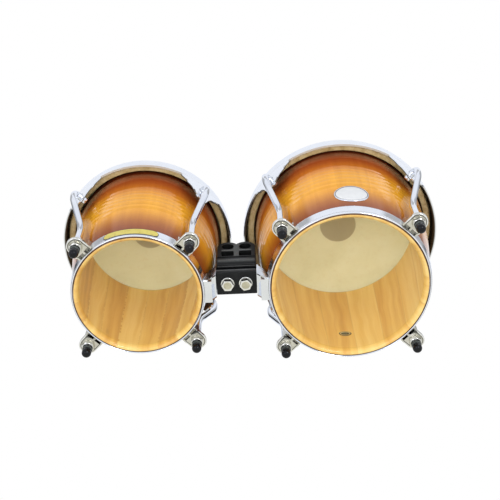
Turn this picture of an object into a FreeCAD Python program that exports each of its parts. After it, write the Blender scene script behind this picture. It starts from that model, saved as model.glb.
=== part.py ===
import FreeCAD, Part
import math
import os
from FreeCAD import Vector as V

os.makedirs("parts", exist_ok=True)

# ---------------------------------------------------------------- dimensions
# All in millimetres. +Z is up (playing surface on top), +X runs from the small
# drum to the large drum, the front (badge side) faces -Y. The pair stands on the
# eight rubber caps at z = 0.

CENTRES = 232.1          # distance between the two drum axes
Z0 = 18.0                # underside of the shells and bottom rings

# small drum (6 3/4 in head) and large drum (8 in head)
RIM_R = {"small": 101.15, "large": 116.0}       # widest radius of the rims
SHELL_R0 = {"small": 70.4, "large": 86.3}       # outer radius at the bottom
SHELL_IN0 = {"small": 64.9, "large": 80.5}      # inner radius at the bottom
SHELL_IN1 = {"small": 77.4, "large": 91.6}      # inner radius near the top
FLARE1 = {"small": 0.190, "large": 0.187}       # outer profile r0 + a z - b z^2
FLARE2 = 0.00055
SHELL_H = 164.0          # shell height, bottom edge to bearing edge

RING_H = 13.6            # height of the bottom ring
RING_T = 2.1             # thickness of the bottom ring

SKIN_T = 1.4             # thickness of the skins
RIM_T = 2.2              # thickness of the rims and their side plates
RIM_Z = 135.0            # lower edge of the rims above the shell's bottom

ROD_R = 4.0              # M8 tension rods
ROD_LOW_R = {"small": 86.3, "large": 102.6}     # radius of the lower run
ROD_TOP_R = {"small": 108.5, "large": 123.6}    # radius of the upper run
ROD_KNEE1 = 50.0         # heights of the two knees above the shell's bottom
ROD_KNEE2 = 103.0
ROD_HOOK = 119.0         # height of the hook's centre line
ROD_GAP = 0.25           # radial clearance of a rod in its collar, ear and nut

EAR_T = 4.0              # thickness of the ear plates
EAR_Z = 2.5              # underside of the ear plates
EAR_NOSE = 10.4          # radius of the ear's rounded nose
EAR_W = 10.6             # half-width of the ear's straight inner edge
EAR_OFF = 4.2            # from the ring's outside to the plate's inner edge
NUT_AF = 13.0
NUT_H = 6.0
CAP_R = 5.4
CAP_TOP = -4.9           # top of the rubber caps, seen from the shell's bottom

BLK_X0, BLK_X1 = -37.7, 6.9      # centre block, side faces
BLK_Y = 14.0                     # half depth
BLK_BASE = (21.0, 28.0)          # clamp base, heights above the shell's bottom
BLK_BODY = 34.0                  # underside of the block's body
BLK_BORE_R = 7.0                 # round sockets
BLK_BORE_Z = 86.5
BLK_ARCH_R = 12.3
BOLT_DX = 10.0                   # bolts sit this far either side of the block's middle

xs = -(RIM_R["large"] - RIM_R["small"]) / 2.0 - CENTRES / 2.0
xl = xs + CENTRES
AX = {"small": xs, "large": xl}
BLK_XM = (BLK_X0 + BLK_X1) / 2.0

POS = {"front_left": -135.0, "front_right": -45.0, "rear_left": 135.0, "rear_right": 45.0}

made = []


def out(name, shape):
    """Write one node."""
    shape = shape.removeSplitter() if shape.ShapeType != "Compound" else shape
    if not shape.isValid():
        print("INVALID", name)
    shape.exportStep("parts/%s.step" % name)
    bb = shape.BoundBox
    print("%-26s solids %2d vol %10.1f  x %7.2f %7.2f  y %7.2f %7.2f  z %7.2f %7.2f" % (
        name, len(shape.Solids), shape.Volume, bb.XMin, bb.XMax, bb.YMin, bb.YMax, bb.ZMin, bb.ZMax))
    made.append(name)


def spline(pts):
    c = Part.BSplineCurve()
    c.interpolate([V(r, 0, z) for r, z in pts])
    return c.toShape()


def poly(pts):
    return [Part.LineSegment(V(a[0], 0, a[1]), V(b[0], 0, b[1])).toShape() for a, b in zip(pts, pts[1:])]


def turn(edges):
    """Closed profile in the XZ plane, turned about Z."""
    w = Part.Wire(Part.__sortEdges__(edges))
    return Part.Face(w).revolve(V(0, 0, 0), V(0, 0, 1), 360)


def place(shape, drum, angle=0.0):
    """Turn a piece drawn at angle 0 and move it to its drum."""
    s = shape.copy()
    s.rotate(V(0, 0, 0), V(0, 0, 1), angle)
    s.translate(V(AX[drum], 0, Z0))
    return s


def box(x0, x1, y0, y1, z0, z1):
    return Part.makeBox(x1 - x0, y1 - y0, z1 - z0, V(x0, y0, z0))


def cyl(r, z0, z1, x=0.0, y=0.0):
    return Part.makeCylinder(r, z1 - z0, V(x, y, z0), V(0, 0, 1))


def hexagon(af, z0, z1, x=0.0, y=0.0, turned=0.0):
    """Upright hexagonal prism; turned = 0 puts two corners on the X axis."""
    rc = af / math.sqrt(3.0)
    pts = [V(x + rc * math.cos(math.radians(turned + 60 * i)), y + rc * math.sin(math.radians(turned + 60 * i)), z0) for i in range(7)]
    return Part.Face(Part.makePolygon(pts)).extrude(V(0, 0, z1 - z0))


def shell_r(drum, z):
    """Outer radius of a shell at height z above its bottom."""
    return SHELL_R0[drum] + FLARE1[drum] * z - FLARE2 * z * z


def edges_at(shape, test):
    return [e for e in shape.Edges if test(e)]


def try_fillet(shape, r, test):
    """Round the edges that pass the test, one radius; keep the sharp shape if it fails."""
    es = edges_at(shape, test)
    if not es:
        return shape
    try:
        f = shape.makeFillet(r, es)
        if f.isValid() and len(f.Solids) == len(shape.Solids):
            return f
    except Exception:
        pass
    print("fillet skipped", r, len(es))
    return shape


# ---------------------------------------------------------------- shells
def make_shell(d):
    """Stave shell: flared outside, thicker towards the rounded bearing edge."""
    ro = [(shell_r(d, z), z) for z in (2.0, 20, 40, 60, 80, 100, 120, 140, 156)]
    rt = shell_r(d, 156)
    ri0, ri1 = SHELL_IN0[d], SHELL_IN1[d]
    outer = spline(ro)
    # rounded bearing edge
    arc = Part.Arc(V(rt, 0, 156), V(rt - 1.1, 0, 161.4), V(rt - 4.0, 0, SHELL_H)).toShape()
    top = poly([(rt - 4.0, SHELL_H), (ri1 + 2.0, SHELL_H), (ri1, 161.0)])
    inner = spline([(ri1, 161.0), (ri0 + (ri1 - ri0) * 0.80, 122), (ri0 + (ri1 - ri0) * 0.52, 78), (ri0 + (ri1 - ri0) * 0.24, 36), (ri0, 2.2)])
    r_low = shell_r(d, 2.0)
    b_in = Part.Arc(V(ri0, 0, 2.2), V(ri0 + 0.65, 0, 0.65), V(ri0 + 2.2, 0, 0)).toShape()
    b_mid = poly([(ri0 + 2.2, 0), (r_low - 1.6, 0)])
    b_out = Part.Arc(V(r_low - 1.6, 0, 0), V(r_low - 0.5, 0, 0.5), V(r_low, 0, 2.0)).toShape()
    return turn([outer, arc] + top + [inner, b_in] + b_mid + [b_out])


# ---------------------------------------------------------------- bottom rings
def make_ring(d):
    """Steel band round the shell's lower end, with a rolled lower lip."""
    g = 0.14
    ins = [(shell_r(d, z) + g, z) for z in (1.2, 5.0, 9.5, RING_H)]
    outs = [(shell_r(d, z) + RING_T + (0.25 if z < 3 else 0.0), z) for z in (1.0, 5.0, 9.5, RING_H - 0.7)]
    top = Part.Arc(V(outs[-1][0], 0, outs[-1][1]), V(ins[-1][0] + 1.55, 0, RING_H - 0.12), V(ins[-1][0] + 0.9, 0, RING_H)).toShape()
    top2 = poly([(ins[-1][0] + 0.9, RING_H), (ins[-1][0], RING_H)])
    bot = Part.Arc(V(outs[0][0], 0, outs[0][1]), V((ins[0][0] + outs[0][0]) / 2 + 0.1, 0, -0.25), V(ins[0][0], 0, ins[0][1])).toShape()
    return turn([spline(ins), spline(outs), top, bot] + top2)


# ---------------------------------------------------------------- ears
def make_ear(d, ring_solid):
    """Lug ear: pressed plate with a rounded nose, bent up into a box that is welded to the ring."""
    rr = ROD_LOW_R[d]
    rw = shell_r(d, 0) + 1.0                     # inside the ring's wall, trimmed off below
    xi = shell_r(d, 0) + RING_T + 0.14 + EAR_OFF # straight inner edge of the plate
    z0, z1 = EAR_Z, EAR_Z + EAR_T
    w = EAR_W
    top = RING_H + 1.4
    # plate outline: straight inner edge, tangent lines to the nose circle
    dx, dy = xi - rr, w
    L = math.hypot(dx, dy)
    t = math.atan2(dy, dx) - math.acos(EAR_NOSE / L)
    tx, ty = rr + EAR_NOSE * math.cos(t), EAR_NOSE * math.sin(t)
    e = [Part.LineSegment(V(xi, -w, z0), V(tx, -ty, z0)).toShape(),
         Part.Arc(V(tx, -ty, z0), V(rr + EAR_NOSE, 0, z0), V(tx, ty, z0)).toShape(),
         Part.LineSegment(V(tx, ty, z0), V(xi, w, z0)).toShape(),
         Part.LineSegment(V(xi, w, z0), V(xi, -w, z0)).toShape()]
    plate = Part.Face(Part.Wire(Part.__sortEdges__(e))).extrude(V(0, 0, EAR_T))
    plate = try_fillet(plate, 0.8, lambda ed: abs(ed.BoundBox.ZMax - ed.BoundBox.ZMin) < 1e-6)
    # box between plate and ring, open underneath in two pockets
    bx = box(rw, xi + 2.6, -w, w, z0, top)
    bx = try_fillet(bx, 2.4, lambda ed: ed.BoundBox.YLength > 2 * w - 0.5 and ed.BoundBox.XMin > xi and ed.BoundBox.ZMin > z1)
    for s in (-1, 1):
        y0, y1 = s * 1.2, s * (w - 1.9)
        bx = bx.cut(box(rw - 1, xi, min(y0, y1), max(y0, y1), z0 - 1, top - 2.4))
    # the rib and the two ends stop a little above the plate's underside
    bx = bx.cut(box(rw - 1, xi, -w - 1, w + 1, z0 - 1, z0 + 1.0))
    ear = plate.fuse(bx)
    ear = ear.cut(cyl(ROD_R + ROD_GAP, z0 - 1, z1 + 1, rr, 0))
    # trimmed to the ring's outside
    ear = ear.cut(Part.makeCone(shell_r(d, 0) + RING_T + 0.30, shell_r(d, 20) + RING_T + 0.30, 20, V(0, 0, 0), V(0, 0, 1)))
    return ear.removeSplitter()


def make_collar(d):
    """Tapered guide collar that stands on the ear round the rod."""
    rr = ROD_LOW_R[d]
    z0 = EAR_Z + EAR_T
    e = poly([(ROD_R + ROD_GAP, z0), (6.4, z0), (6.4, z0 + 1.3), (5.9, z0 + 2.0), (5.15, z0 + 6.8), (4.75, z0 + 8.2), (ROD_R + ROD_GAP, z0 + 8.2), (ROD_R + ROD_GAP, z0)])
    c = turn(e)
    c.translate(V(rr, 0, 0))
    return c


def make_nut(d):
    """Hexagonal tuning nut with a round shoulder, below the ear."""
    rr = ROD_LOW_R[d]
    z1 = EAR_Z - 0.2
    z0 = z1 - NUT_H
    n = hexagon(NUT_AF, z0, z1, 0, 0)
    # chamfered corners
    cone = Part.makeCone(NUT_AF / 2 + 0.35, NUT_AF / 2 + 6.0, 5.65 * math.tan(math.radians(30)), V(0, 0, z0), V(0, 0, 1))
    up = Part.makeCylinder(NUT_AF, 40, V(0, 0, z0 + 5.65 * math.tan(math.radians(30)) - 1e-4), V(0, 0, 1))
    n = n.common(cone.fuse(up))
    n = n.cut(cyl(ROD_R + ROD_GAP, z0 - 1, z1 + 1))
    n.rotate(V(0, 0, 0), V(0, 0, 1), 18)
    n.translate(V(rr, 0, 0))
    return n


def make_cap(d):
    """Rubber cap on the rod's end: domed, with a small flat to stand on."""
    rr = ROD_LOW_R[d]
    zb = -Z0
    e = poly([(0, zb), (2.6, zb)])
    e.append(Part.Arc(V(2.6, 0, zb), V(4.62, 0, zb + 1.25), V(CAP_R - 0.05, 0, zb + 4.3)).toShape())
    e += poly([(CAP_R - 0.05, zb + 4.3), (CAP_R, CAP_TOP - 2.2), (CAP_R + 0.25, CAP_TOP - 1.9), (CAP_R + 0.25, CAP_TOP - 0.4), (CAP_R - 0.2, CAP_TOP), (ROD_R + 0.03, CAP_TOP), (ROD_R + 0.03, zb + 4.0), (0, zb + 4.0), (0, zb)])
    c = turn(e)
    c.translate(V(rr, 0, 0))
    return c


# ---------------------------------------------------------------- tension rods
def make_rod(d):
    """Tension rod: straight threaded foot, outward knee, upright top and hook."""
    r0, r1 = ROD_LOW_R[d], ROD_TOP_R[d]
    hook_end = RIM_R[d] - 8.6
    pts = [V(r0, 0, -Z0 + 4.2), V(r0, 0, ROD_KNEE1), V(r1, 0, ROD_KNEE2), V(r1, 0, ROD_HOOK), V(hook_end, 0, ROD_HOOK)]
    rad = [None, 26.0, 26.0, 6.2, None]
    edges = []
    prev = pts[0]
    for i in range(1, len(pts) - 1):
        a = (pts[i - 1] - pts[i]).normalize()
        b = (pts[i + 1] - pts[i]).normalize()
        ang = a.getAngle(b)
        tl = rad[i] / math.tan(ang / 2)
        p1 = pts[i] + a * tl
        p2 = pts[i] + b * tl
        bis = (a + b).normalize()
        mid = pts[i] + bis * (rad[i] / math.sin(ang / 2) - rad[i])
        edges.append(Part.LineSegment(prev, p1).toShape())
        edges.append(Part.Arc(p1, mid, p2).toShape())
        prev = p2
    edges.append(Part.LineSegment(prev, pts[-1]).toShape())
    path = Part.Wire(edges)
    c = Part.Wire(Part.makeCircle(ROD_R, pts[0], V(0, 0, 1)))
    rod = path.makePipeShell([c], True, False)
    print("rod", d, "length %.1f vol ratio %.5f" % (path.Length, rod.Volume / (math.pi * ROD_R ** 2 * path.Length)))
    # chamfered lower end
    trim = Part.makeCone(ROD_R - 1.0, ROD_R + 0.2, 1.2, V(r0, 0, -Z0 + 4.2), V(0, 0, 1)).fuse(box(r0 - 60, r0 + 60, -20, 20, -Z0 + 5.4 - 1e-3, 200))
    return rod.common(trim).removeSplitter()


# ---------------------------------------------------------------- skins
def make_skin(d):
    """Playing part of the skin, lying on the bearing edge."""
    rt = shell_r(d, 156)
    z = SHELL_H + 0.08
    e = poly([(0, z), (rt - 3.6, z)])
    e.append(Part.Arc(V(rt - 3.6, 0, z), V(rt - 1.5, 0, z - 0.7), V(rt - 0.4, 0, z - 2.0)).toShape())
    e += poly([(rt - 0.4, z - 2.0), (rt + 0.62, z - 1.1)])
    e.append(Part.Arc(V(rt + 0.62, 0, z - 1.1), V(rt - 1.0, 0, z + 0.65), V(rt - 3.6, 0, z + SKIN_T)).toShape())
    e += poly([(rt - 3.6, z + SKIN_T), (0, z + SKIN_T), (0, z)])
    return turn(e)


def make_collar_skin(d):
    """Edge of the skin: down past the shell, under the flesh hoop and back over it."""
    k = RIM_R[d] - 101.15
    p = [(88.2, 162.6), (88.2, 148.2), (95.9, 148.2), (95.9, 153.4), (93.6, 155.9), (90.0, 155.9), (90.0, 154.6), (93.1, 154.6), (94.6, 152.9), (94.6, 149.6), (89.6, 149.6), (89.6, 162.6), (88.2, 162.6)]
    return turn(poly([(r + k, z) for r, z in p]))


def make_hoop(d):
    """Flesh hoop inside the wrapped edge of the skin."""
    k = RIM_R[d] - 101.15
    p = [(90.2, 149.8), (94.2, 149.8), (94.4, 150.0), (94.4, 152.7), (92.9, 154.3), (90.4, 154.3), (90.1, 154.0), (90.1, 149.9), (90.2, 149.8)]
    return turn(poly([(r + k, z) for r, z in p]))


# ---------------------------------------------------------------- rims
def make_rim(d):
    """Rounded rim: upright skirt, full bulge, curled in over the flesh hoop."""
    k = RIM_R[d] - 101.15
    o = [(101.05, RIM_Z), (101.1, 140), (101.15, 146.0), (100.62, 151.2), (98.9, 155.2), (96.0, 158.0), (92.9, 159.3), (90.9, 159.55)]
    i = [(98.85, RIM_Z), (98.9, 140), (98.93, 146.0), (98.45, 150.5), (97.1, 153.6), (94.95, 155.9), (92.4, 157.15), (90.9, 157.35)]
    eo = spline([(r + k, z) for r, z in o])
    ei = spline([(r + k, z) for r, z in i])
    tip = Part.Arc(V(o[-1][0] + k, 0, o[-1][1]), V(89.95 + k, 0, 158.45), V(i[-1][0] + k, 0, i[-1][1])).toShape()
    low = poly([(o[0][0] + k, RIM_Z), (i[0][0] + k, RIM_Z)])
    return turn([eo, tip, ei] + low)


PLATE = [(29.5, 135.0), (28.0, 132.4), (22.8, 127.0), (20.2, 121.4), (14.6, 116.6), (11.2, 110.0), (8.8, 103.4), (7.6, 98.6), (5.4, 95.8)]


def make_side_plate(d):
    """Side plate: stepped tongue below the rim with the hole for the rod's hook."""
    k = RIM_R[d] - 101.15
    pts = [(-t, z) for t, z in PLATE] + [(t, z) for t, z in reversed(PLATE)]
    w = Part.makePolygon([V(90 + k, t, z) for t, z in pts] + [V(90 + k, pts[0][0], pts[0][1])])
    slab = Part.Face(w).extrude(V(20, 0, 0))
    if slab.Volume < 0:
        slab.reverse()
    slab = try_fillet(slab, 1.2, lambda ed: ed.BoundBox.XLength > 19 and ed.BoundBox.ZMin < 134.5)
    band = Part.makeCylinder(101.05 + k, 60, V(0, 0, 80), V(0, 0, 1)).cut(Part.makeCylinder(98.85 + k, 60, V(0, 0, 80), V(0, 0, 1)))
    plate = slab.common(band)
    hole = Part.makeCylinder(ROD_R + 0.5, 30, V(85 + k, 0, ROD_HOOK), V(1, 0, 0))
    return plate.cut(hole)


# ---------------------------------------------------------------- brackets
def make_bracket(side):
    """Pressed channel between the block and a bottom ring.
    side +1 joins the large drum, side -1 the small one."""
    d = "large" if side > 0 else "small"
    face = BLK_X1 if side > 0 else BLK_X0
    ax = AX[d]
    ring0 = shell_r(d, 0) + RING_T + 0.30        # ring radius at the trim cone
    wall_in = face + side * 0.3
    wall_out = face + side * 2.1
    zt = (30.3, 33.2)                            # tongue between the clamp's pads
    gap = abs(ax - face) - ring0                 # block face to ring at the bottom

    def bx(a, b, y0, y1, z0, z1):
        return box(min(a, b), max(a, b), y0, y1, z0, z1)

    end = face + side * (gap + 8.0)
    parts = [
        bx(wall_in, wall_out, -14.5, 13.5, 15.0, 36.0),                    # wall beside the block
        bx(wall_in, face + side * 7.2, -13.0, 13.0, 27.4, 30.0),           # top of the channel
        bx(face + side * 4.6, face + side * 7.2, -12.2, 13.4, 3.2, 30.0),  # inner wall of the channel
        bx(face + side * 4.6, end, -13.0, 13.0, 12.8, 15.4),               # web to the ring
        bx(face + side * (gap - 4.2), end, -13.0, 13.0, 3.2, 15.4),        # pad on the ring
        bx(face + side * 4.6, end, -12.2, 13.4, 3.2, 6.0),                 # lower flange
        bx(face - side * 20.0, wall_out, -11.0, 11.0, zt[0], zt[1]),       # tongue into the clamp
    ]
    # cheeks at the front and back, sloping down to the ring
    for y0 in (-14.5, 11.9):
        p = [V(wall_in, y0, 34.0), V(wall_out, y0, 34.0), V(face + side * (gap - 1.0), y0, 17.0), V(end, y0, 15.0), V(end, y0, 6.0), V(face + side * (gap - 4.5), y0, 3.2), V(wall_in, y0, 15.0)]
        f = Part.Face(Part.makePolygon(p + [p[0]])).extrude(V(0, 1.6, 0))
        parts.append(f)
    b = parts[0]
    for q in parts[1:]:
        b = b.fuse(q)
    b = b.removeSplitter()
    # round end of the tongue and the bolt hole through it
    bxm = BLK_XM + side * BOLT_DX
    b = b.cut(cyl(4.4, zt[0] - 2, zt[1] + 2, bxm, 0))
    # trimmed to the ring's outside and kept off the shell above it
    trim = Part.makeCone(ring0, shell_r(d, 20) + RING_T + 0.30, 20, V(ax, 0, 0), V(0, 0, 1))
    trim = trim.fuse(Part.makeCylinder(shell_r(d, 44) + 0.4, 40, V(ax, 0, 19.5), V(0, 0, 1)))
    b = b.cut(trim)
    sol = sorted(b.Solids, key=lambda s: -s.Volume)
    b = sol[0].removeSplitter()
    b.translate(V(0, 0, Z0))
    return b


# ---------------------------------------------------------------- centre block
def make_block_body():
    """Moulded body of the centre block: sockets, windows, rounded cross bar."""
    x0, x1, xm = BLK_X0, BLK_X1, BLK_XM
    arch_z = BLK_BORE_Z + 0.4
    b = box(x0, x1, -BLK_Y, BLK_Y, BLK_BODY, arch_z)
    for s in (-1, 1):
        b = b.fuse(Part.makeCylinder(BLK_ARCH_R, 2 * BLK_Y, V(xm + s * BOLT_DX, -BLK_Y, arch_z), V(0, 1, 0)))
    b = b.removeSplitter()
    # rounded edges of the front and back outlines
    b = try_fillet(b, 1.2, lambda e: (abs(e.BoundBox.YMin - e.BoundBox.YMax) < 1e-6 and e.BoundBox.ZMax > BLK_BODY + 1))
    # rounded cross bars, front and back
    for s in (-1, 1):
        prof = [V(x0 + 0.4, s * (BLK_Y - 1.0), 39.0), V(x0 + 0.4, s * (BLK_Y - 1.0), 56.0)]
        arc = Part.Arc(V(x0 + 0.4, s * (BLK_Y - 1.0), 39.0), V(x0 + 0.4, s * (BLK_Y + 1.9), 47.5), V(x0 + 0.4, s * (BLK_Y - 1.0), 56.0)).toShape()
        f = Part.Face(Part.Wire([Part.LineSegment(prof[0], prof[1]).toShape(), arc])).extrude(V(x1 - x0 - 0.8, 0, 0))
        b = b.fuse(f)
    b = b.removeSplitter()
    # round sockets, right through
    for s in (-1, 1):
        b = b.cut(Part.makeCylinder(BLK_BORE_R, 60, V(xm + s * BOLT_DX, -30, BLK_BORE_Z), V(0, 1, 0)))
        # window that holds the bolt's nut, right through
        b = b.cut(box(xm + s * BOLT_DX - 7.1, xm + s * BOLT_DX + 7.1, -30, 30, 62.0, 74.0))
        # bolt hole below it
        b = b.cut(cyl(4.3, BLK_BODY - 1, 63, xm + s * BOLT_DX, 0))
    # shallow recess above the cross bar and the rib below it
    for s in (-1, 1):
        y0, y1 = (s * (BLK_Y - 0.7), s * (BLK_Y + 4))
        b = b.cut(box(x0 - 1, x1 + 1, min(y0, y1), max(y0, y1), 56.6, 60.4))
        b = b.cut(box(x0 - 1, x1 + 1, min(y0, y1), max(y0, y1), 36.4, 38.4))
    b = b.removeSplitter()
    b.translate(V(0, 0, Z0))
    return b


def make_block_base():
    """Clamp base under the tongues, with two counterbores for the washers."""
    x0, x1, xm = BLK_X0, BLK_X1, BLK_XM
    z0, z1 = BLK_BASE
    b = box(x0, x1, -BLK_Y, BLK_Y, z0, z1)
    b = try_fillet(b, 1.0, lambda e: True if e.BoundBox.ZMax < z1 - 0.1 or e.BoundBox.ZLength > 5 else False)
    for s in (-1, 1):
        b = b.cut(cyl(4.3, z0 - 1, z1 + 1, xm + s * BOLT_DX, 0))
    b.translate(V(0, 0, Z0))
    return b


def make_pads():
    """Rubber pads below and above the tongues."""
    x0, x1, xm = BLK_X0, BLK_X1, BLK_XM
    res = []
    for z0, z1 in ((BLK_BASE[1], 30.2), (33.3, BLK_BODY)):
        b = box(x0 + 1.0, x1 - 1.0, -BLK_Y + 1.0, BLK_Y - 1.0, z0, z1)
        for s in (-1, 1):
            b = b.cut(cyl(4.3, z0 - 1, z1 + 1, xm + s * BOLT_DX, 0))
        b.translate(V(0, 0, Z0))
        res.append(b)
    return Part.makeCompound(res)


def make_bolts():
    """Two hexagon bolts from below, through the clamp into the windows."""
    res = []
    for s in (-1, 1):
        x = BLK_XM + s * BOLT_DX
        z0 = BLK_BASE[0]
        h = hexagon(12.0, z0 - 6.6, z0 - 1.4, x, 0, 30 if s > 0 else 22)
        cone = Part.makeCone(6.2, 12.0, 3.35, V(x, 0, z0 - 6.6), V(0, 0, 1))
        h = h.common(cone.fuse(cyl(14, z0 - 6.6 + 3.34, z0, x, 0)))
        # shallow dish in the head
        h = h.cut(Part.makeCone(4.3, 3.7, 0.5, V(x, 0, z0 - 6.6), V(0, 0, 1)))
        sh = cyl(4.0, z0 - 1.5, 70.5, x, 0)
        b = h.fuse(sh).removeSplitter()
        b.translate(V(0, 0, Z0))
        res.append(b)
    return Part.makeCompound(res)


def make_washers():
    res = []
    for s in (-1, 1):
        x = BLK_XM + s * BOLT_DX
        z0 = BLK_BASE[0]
        w = cyl(7.9, z0 - 1.4, z0, x, 0).cut(cyl(4.05, z0 - 2, z0 + 1, x, 0))
        w.translate(V(0, 0, Z0))
        res.append(w)
    return Part.makeCompound(res)


def make_block_nuts():
    res = []
    for s in (-1, 1):
        x = BLK_XM + s * BOLT_DX
        n = hexagon(13.0, 62.0, 68.5, x, 0, 30).cut(cyl(4.03, 61, 70, x, 0))
        n.translate(V(0, 0, Z0))
        res.append(n)
    return Part.makeCompound(res)


# ---------------------------------------------------------------- blank plates
def make_shell_oval(d, ang, z, w, h, t, inside=False):
    """Thin oval plate that follows the shell's wall."""
    prof = []
    steps = (-1.0, -0.5, 0.0, 0.5, 1.0)
    zz = [z + s * (h / 2 + 1.5) for s in steps]
    if inside:
        ri0, ri1 = SHELL_IN0[d], SHELL_IN1[d]
        f = lambda q: ri0 + (ri1 - ri0) * (q - 2.2) / 150.0
        a = [(f(q) - 0.35 - t, q) for q in zz]
        b = [(f(q) - 0.35, q) for q in zz]
    else:
        a = [(shell_r(d, q) + 0.06, q) for q in zz]
        b = [(shell_r(d, q) + 0.06 + t, q) for q in zz]
    band = turn([spline(a), spline(b)] + poly([a[0], b[0]]) + poly([a[-1], b[-1]]))
    e = Part.Ellipse(V(0, 0, 0), w / 2 if w >= h else h / 2, h / 2 if w >= h else w / 2).toShape()
    fc = Part.Face(Part.Wire([e]))
    solid = fc.extrude(V(0, 0, 60))
    # ellipse plane -> facing +X, long axis along Y
    m = FreeCAD.Matrix()
    solid.rotate(V(0, 0, 0), V(0, 1, 0), 90)
    if w >= h:
        solid.rotate(V(0, 0, 0), V(1, 0, 0), 90)
    solid.translate(V(a[2][0] - 30, 0, z))
    return place(solid.common(band), d, ang)


def make_ring_label(d, ang, w, z0, z1):
    """Thin label on the bottom ring."""
    zz = [z0, (z0 + z1) / 2, z1]
    a = [(shell_r(d, q) + RING_T + 0.12, q) for q in zz]
    b = [(shell_r(d, q) + RING_T + 0.45, q) for q in zz]
    band = turn([spline(a), spline(b)] + poly([a[0], b[0]]) + poly([a[-1], b[-1]]))
    half = math.degrees(w / 2 / a[1][0])
    R = 200.0
    r = (z1 - z0) / 2
    c = (z0 + z1) / 2
    # stadium outline, developed on the ring's tangent
    tw = a[1][0] * math.sin(math.radians(half))
    e = [Part.LineSegment(V(40, -tw + r, z0), V(40, tw - r, z0)).toShape(),
         Part.Arc(V(40, tw - r, z0), V(40, tw, c), V(40, tw - r, z1)).toShape(),
         Part.LineSegment(V(40, tw - r, z1), V(40, -tw + r, z1)).toShape(),
         Part.Arc(V(40, -tw + r, z1), V(40, -tw, c), V(40, -tw + r, z0)).toShape()]
    slab = Part.Face(Part.Wire(e)).extrude(V(80, 0, 0))
    return place(slab.common(band), d, ang)


# ---------------------------------------------------------------- write it all
for d in ("small", "large"):
    ring = make_ring(d)
    out(d + "_shell", place(make_shell(d), d))
    out(d + "_bottom_ring", place(ring, d))
    ear = make_ear(d, ring)
    out(d + "_ring_ears", Part.makeCompound([place(ear, d, a) for a in POS.values()]))
    out(d + "_rod_collars", Part.makeCompound([place(make_collar(d), d, a) for a in POS.values()]))
    out(d + "_skin", place(make_skin(d), d))
    out(d + "_skin_edge", place(make_collar_skin(d), d))
    out(d + "_flesh_hoop", place(make_hoop(d), d))
    out(d + "_rim", place(make_rim(d), d))
    plate = make_side_plate(d)
    out(d + "_rim_side_plates", Part.makeCompound([place(plate, d, a) for a in POS.values()]))
    rod = make_rod(d)
    nut = make_nut(d)
    for n, a in POS.items():
        out("%s_rod_%s" % (d, n), place(rod, d, a))
        out("%s_nut_%s" % (d, n), place(nut, d, a))
    out(d + "_rod_caps", Part.makeCompound([place(make_cap(d), d, a) for a in POS.values()]))

out("small_bracket", make_bracket(-1))
out("large_bracket", make_bracket(1))
out("block_body", make_block_body())
out("block_base", make_block_base())
out("block_pads", make_pads())
out("block_bolts", make_bolts())
out("block_washers", make_washers())
out("block_nuts", make_block_nuts())
out("large_shell_plate", make_shell_oval("large", -86.9, 40.5, 38.0, 31.5, 1.0))
out("large_shell_sticker", make_shell_oval("large", 91.5, 43.5, 14.5, 11.5, 0.25, True))
out("small_ring_label", make_ring_label("small", -91.3, 59.5, 2.4, 12.4))
print(len(made), "nodes")
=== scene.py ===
import bpy
import math
import random
from mathutils import Vector, Matrix


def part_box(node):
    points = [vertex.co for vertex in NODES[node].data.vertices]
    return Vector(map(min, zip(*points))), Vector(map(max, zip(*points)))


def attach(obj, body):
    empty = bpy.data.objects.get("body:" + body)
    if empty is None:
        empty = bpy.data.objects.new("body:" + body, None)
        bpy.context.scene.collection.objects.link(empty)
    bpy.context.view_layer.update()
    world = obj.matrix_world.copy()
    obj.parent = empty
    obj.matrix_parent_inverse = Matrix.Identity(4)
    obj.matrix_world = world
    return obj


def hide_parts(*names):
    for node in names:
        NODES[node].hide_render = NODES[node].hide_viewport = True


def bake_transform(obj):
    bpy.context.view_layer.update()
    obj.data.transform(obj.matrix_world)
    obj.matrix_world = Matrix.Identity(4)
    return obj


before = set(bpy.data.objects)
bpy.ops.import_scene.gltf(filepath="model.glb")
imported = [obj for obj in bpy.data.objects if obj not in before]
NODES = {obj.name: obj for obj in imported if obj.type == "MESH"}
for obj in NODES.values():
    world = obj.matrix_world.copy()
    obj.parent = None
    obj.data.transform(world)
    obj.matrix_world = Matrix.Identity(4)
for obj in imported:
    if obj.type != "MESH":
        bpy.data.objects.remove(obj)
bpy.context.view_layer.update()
MM = 0.001
random.seed(7)


# ================================================================ numbers
def mid(node):
    lo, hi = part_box(node)
    return (lo + hi) / 2


AX = {d: mid(d + "_rim").x / MM for d in ("small", "large")}
Z0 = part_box("small_shell")[0].z / MM
RIM_R = {d: (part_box(d + "_rim")[1].y) / MM for d in ("small", "large")}
KX = {d: RIM_R[d] - 101.15 for d in RIM_R}
SHELL_R0 = {"small": 70.4, "large": 86.3}
SHELL_IN0 = {"small": 64.9, "large": 80.5}
SHELL_IN1 = {"small": 77.4, "large": 91.6}
FLARE1 = {"small": 0.190, "large": 0.187}
ROD_LOW = {"small": 86.3, "large": 102.6}
ROD_TOP = {"small": 108.5, "large": 123.6}
POS = {"front_left": -135.0, "front_right": -45.0, "rear_left": 135.0, "rear_right": 45.0}
SHELL_H = 164.0


def shell_r(d, z):
    return SHELL_R0[d] + FLARE1[d] * z - 0.00055 * z * z


RIDGES = [(58.0, 0.08, 2.5), (67.0, 0.15, 2.3), (75.5, 0.19, 2.1), (83.0, 0.19, 2.1), (90.5, 0.18, 2.1), (98.0, 0.16, 2.1), (106.0, 0.10, 2.5)]


def ridge(z):
    """Shallow turned ridges left under the lacquer, mm."""
    return sum(h * math.exp(-((z - c) / w) ** 2) for c, h, w in RIDGES)


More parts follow.
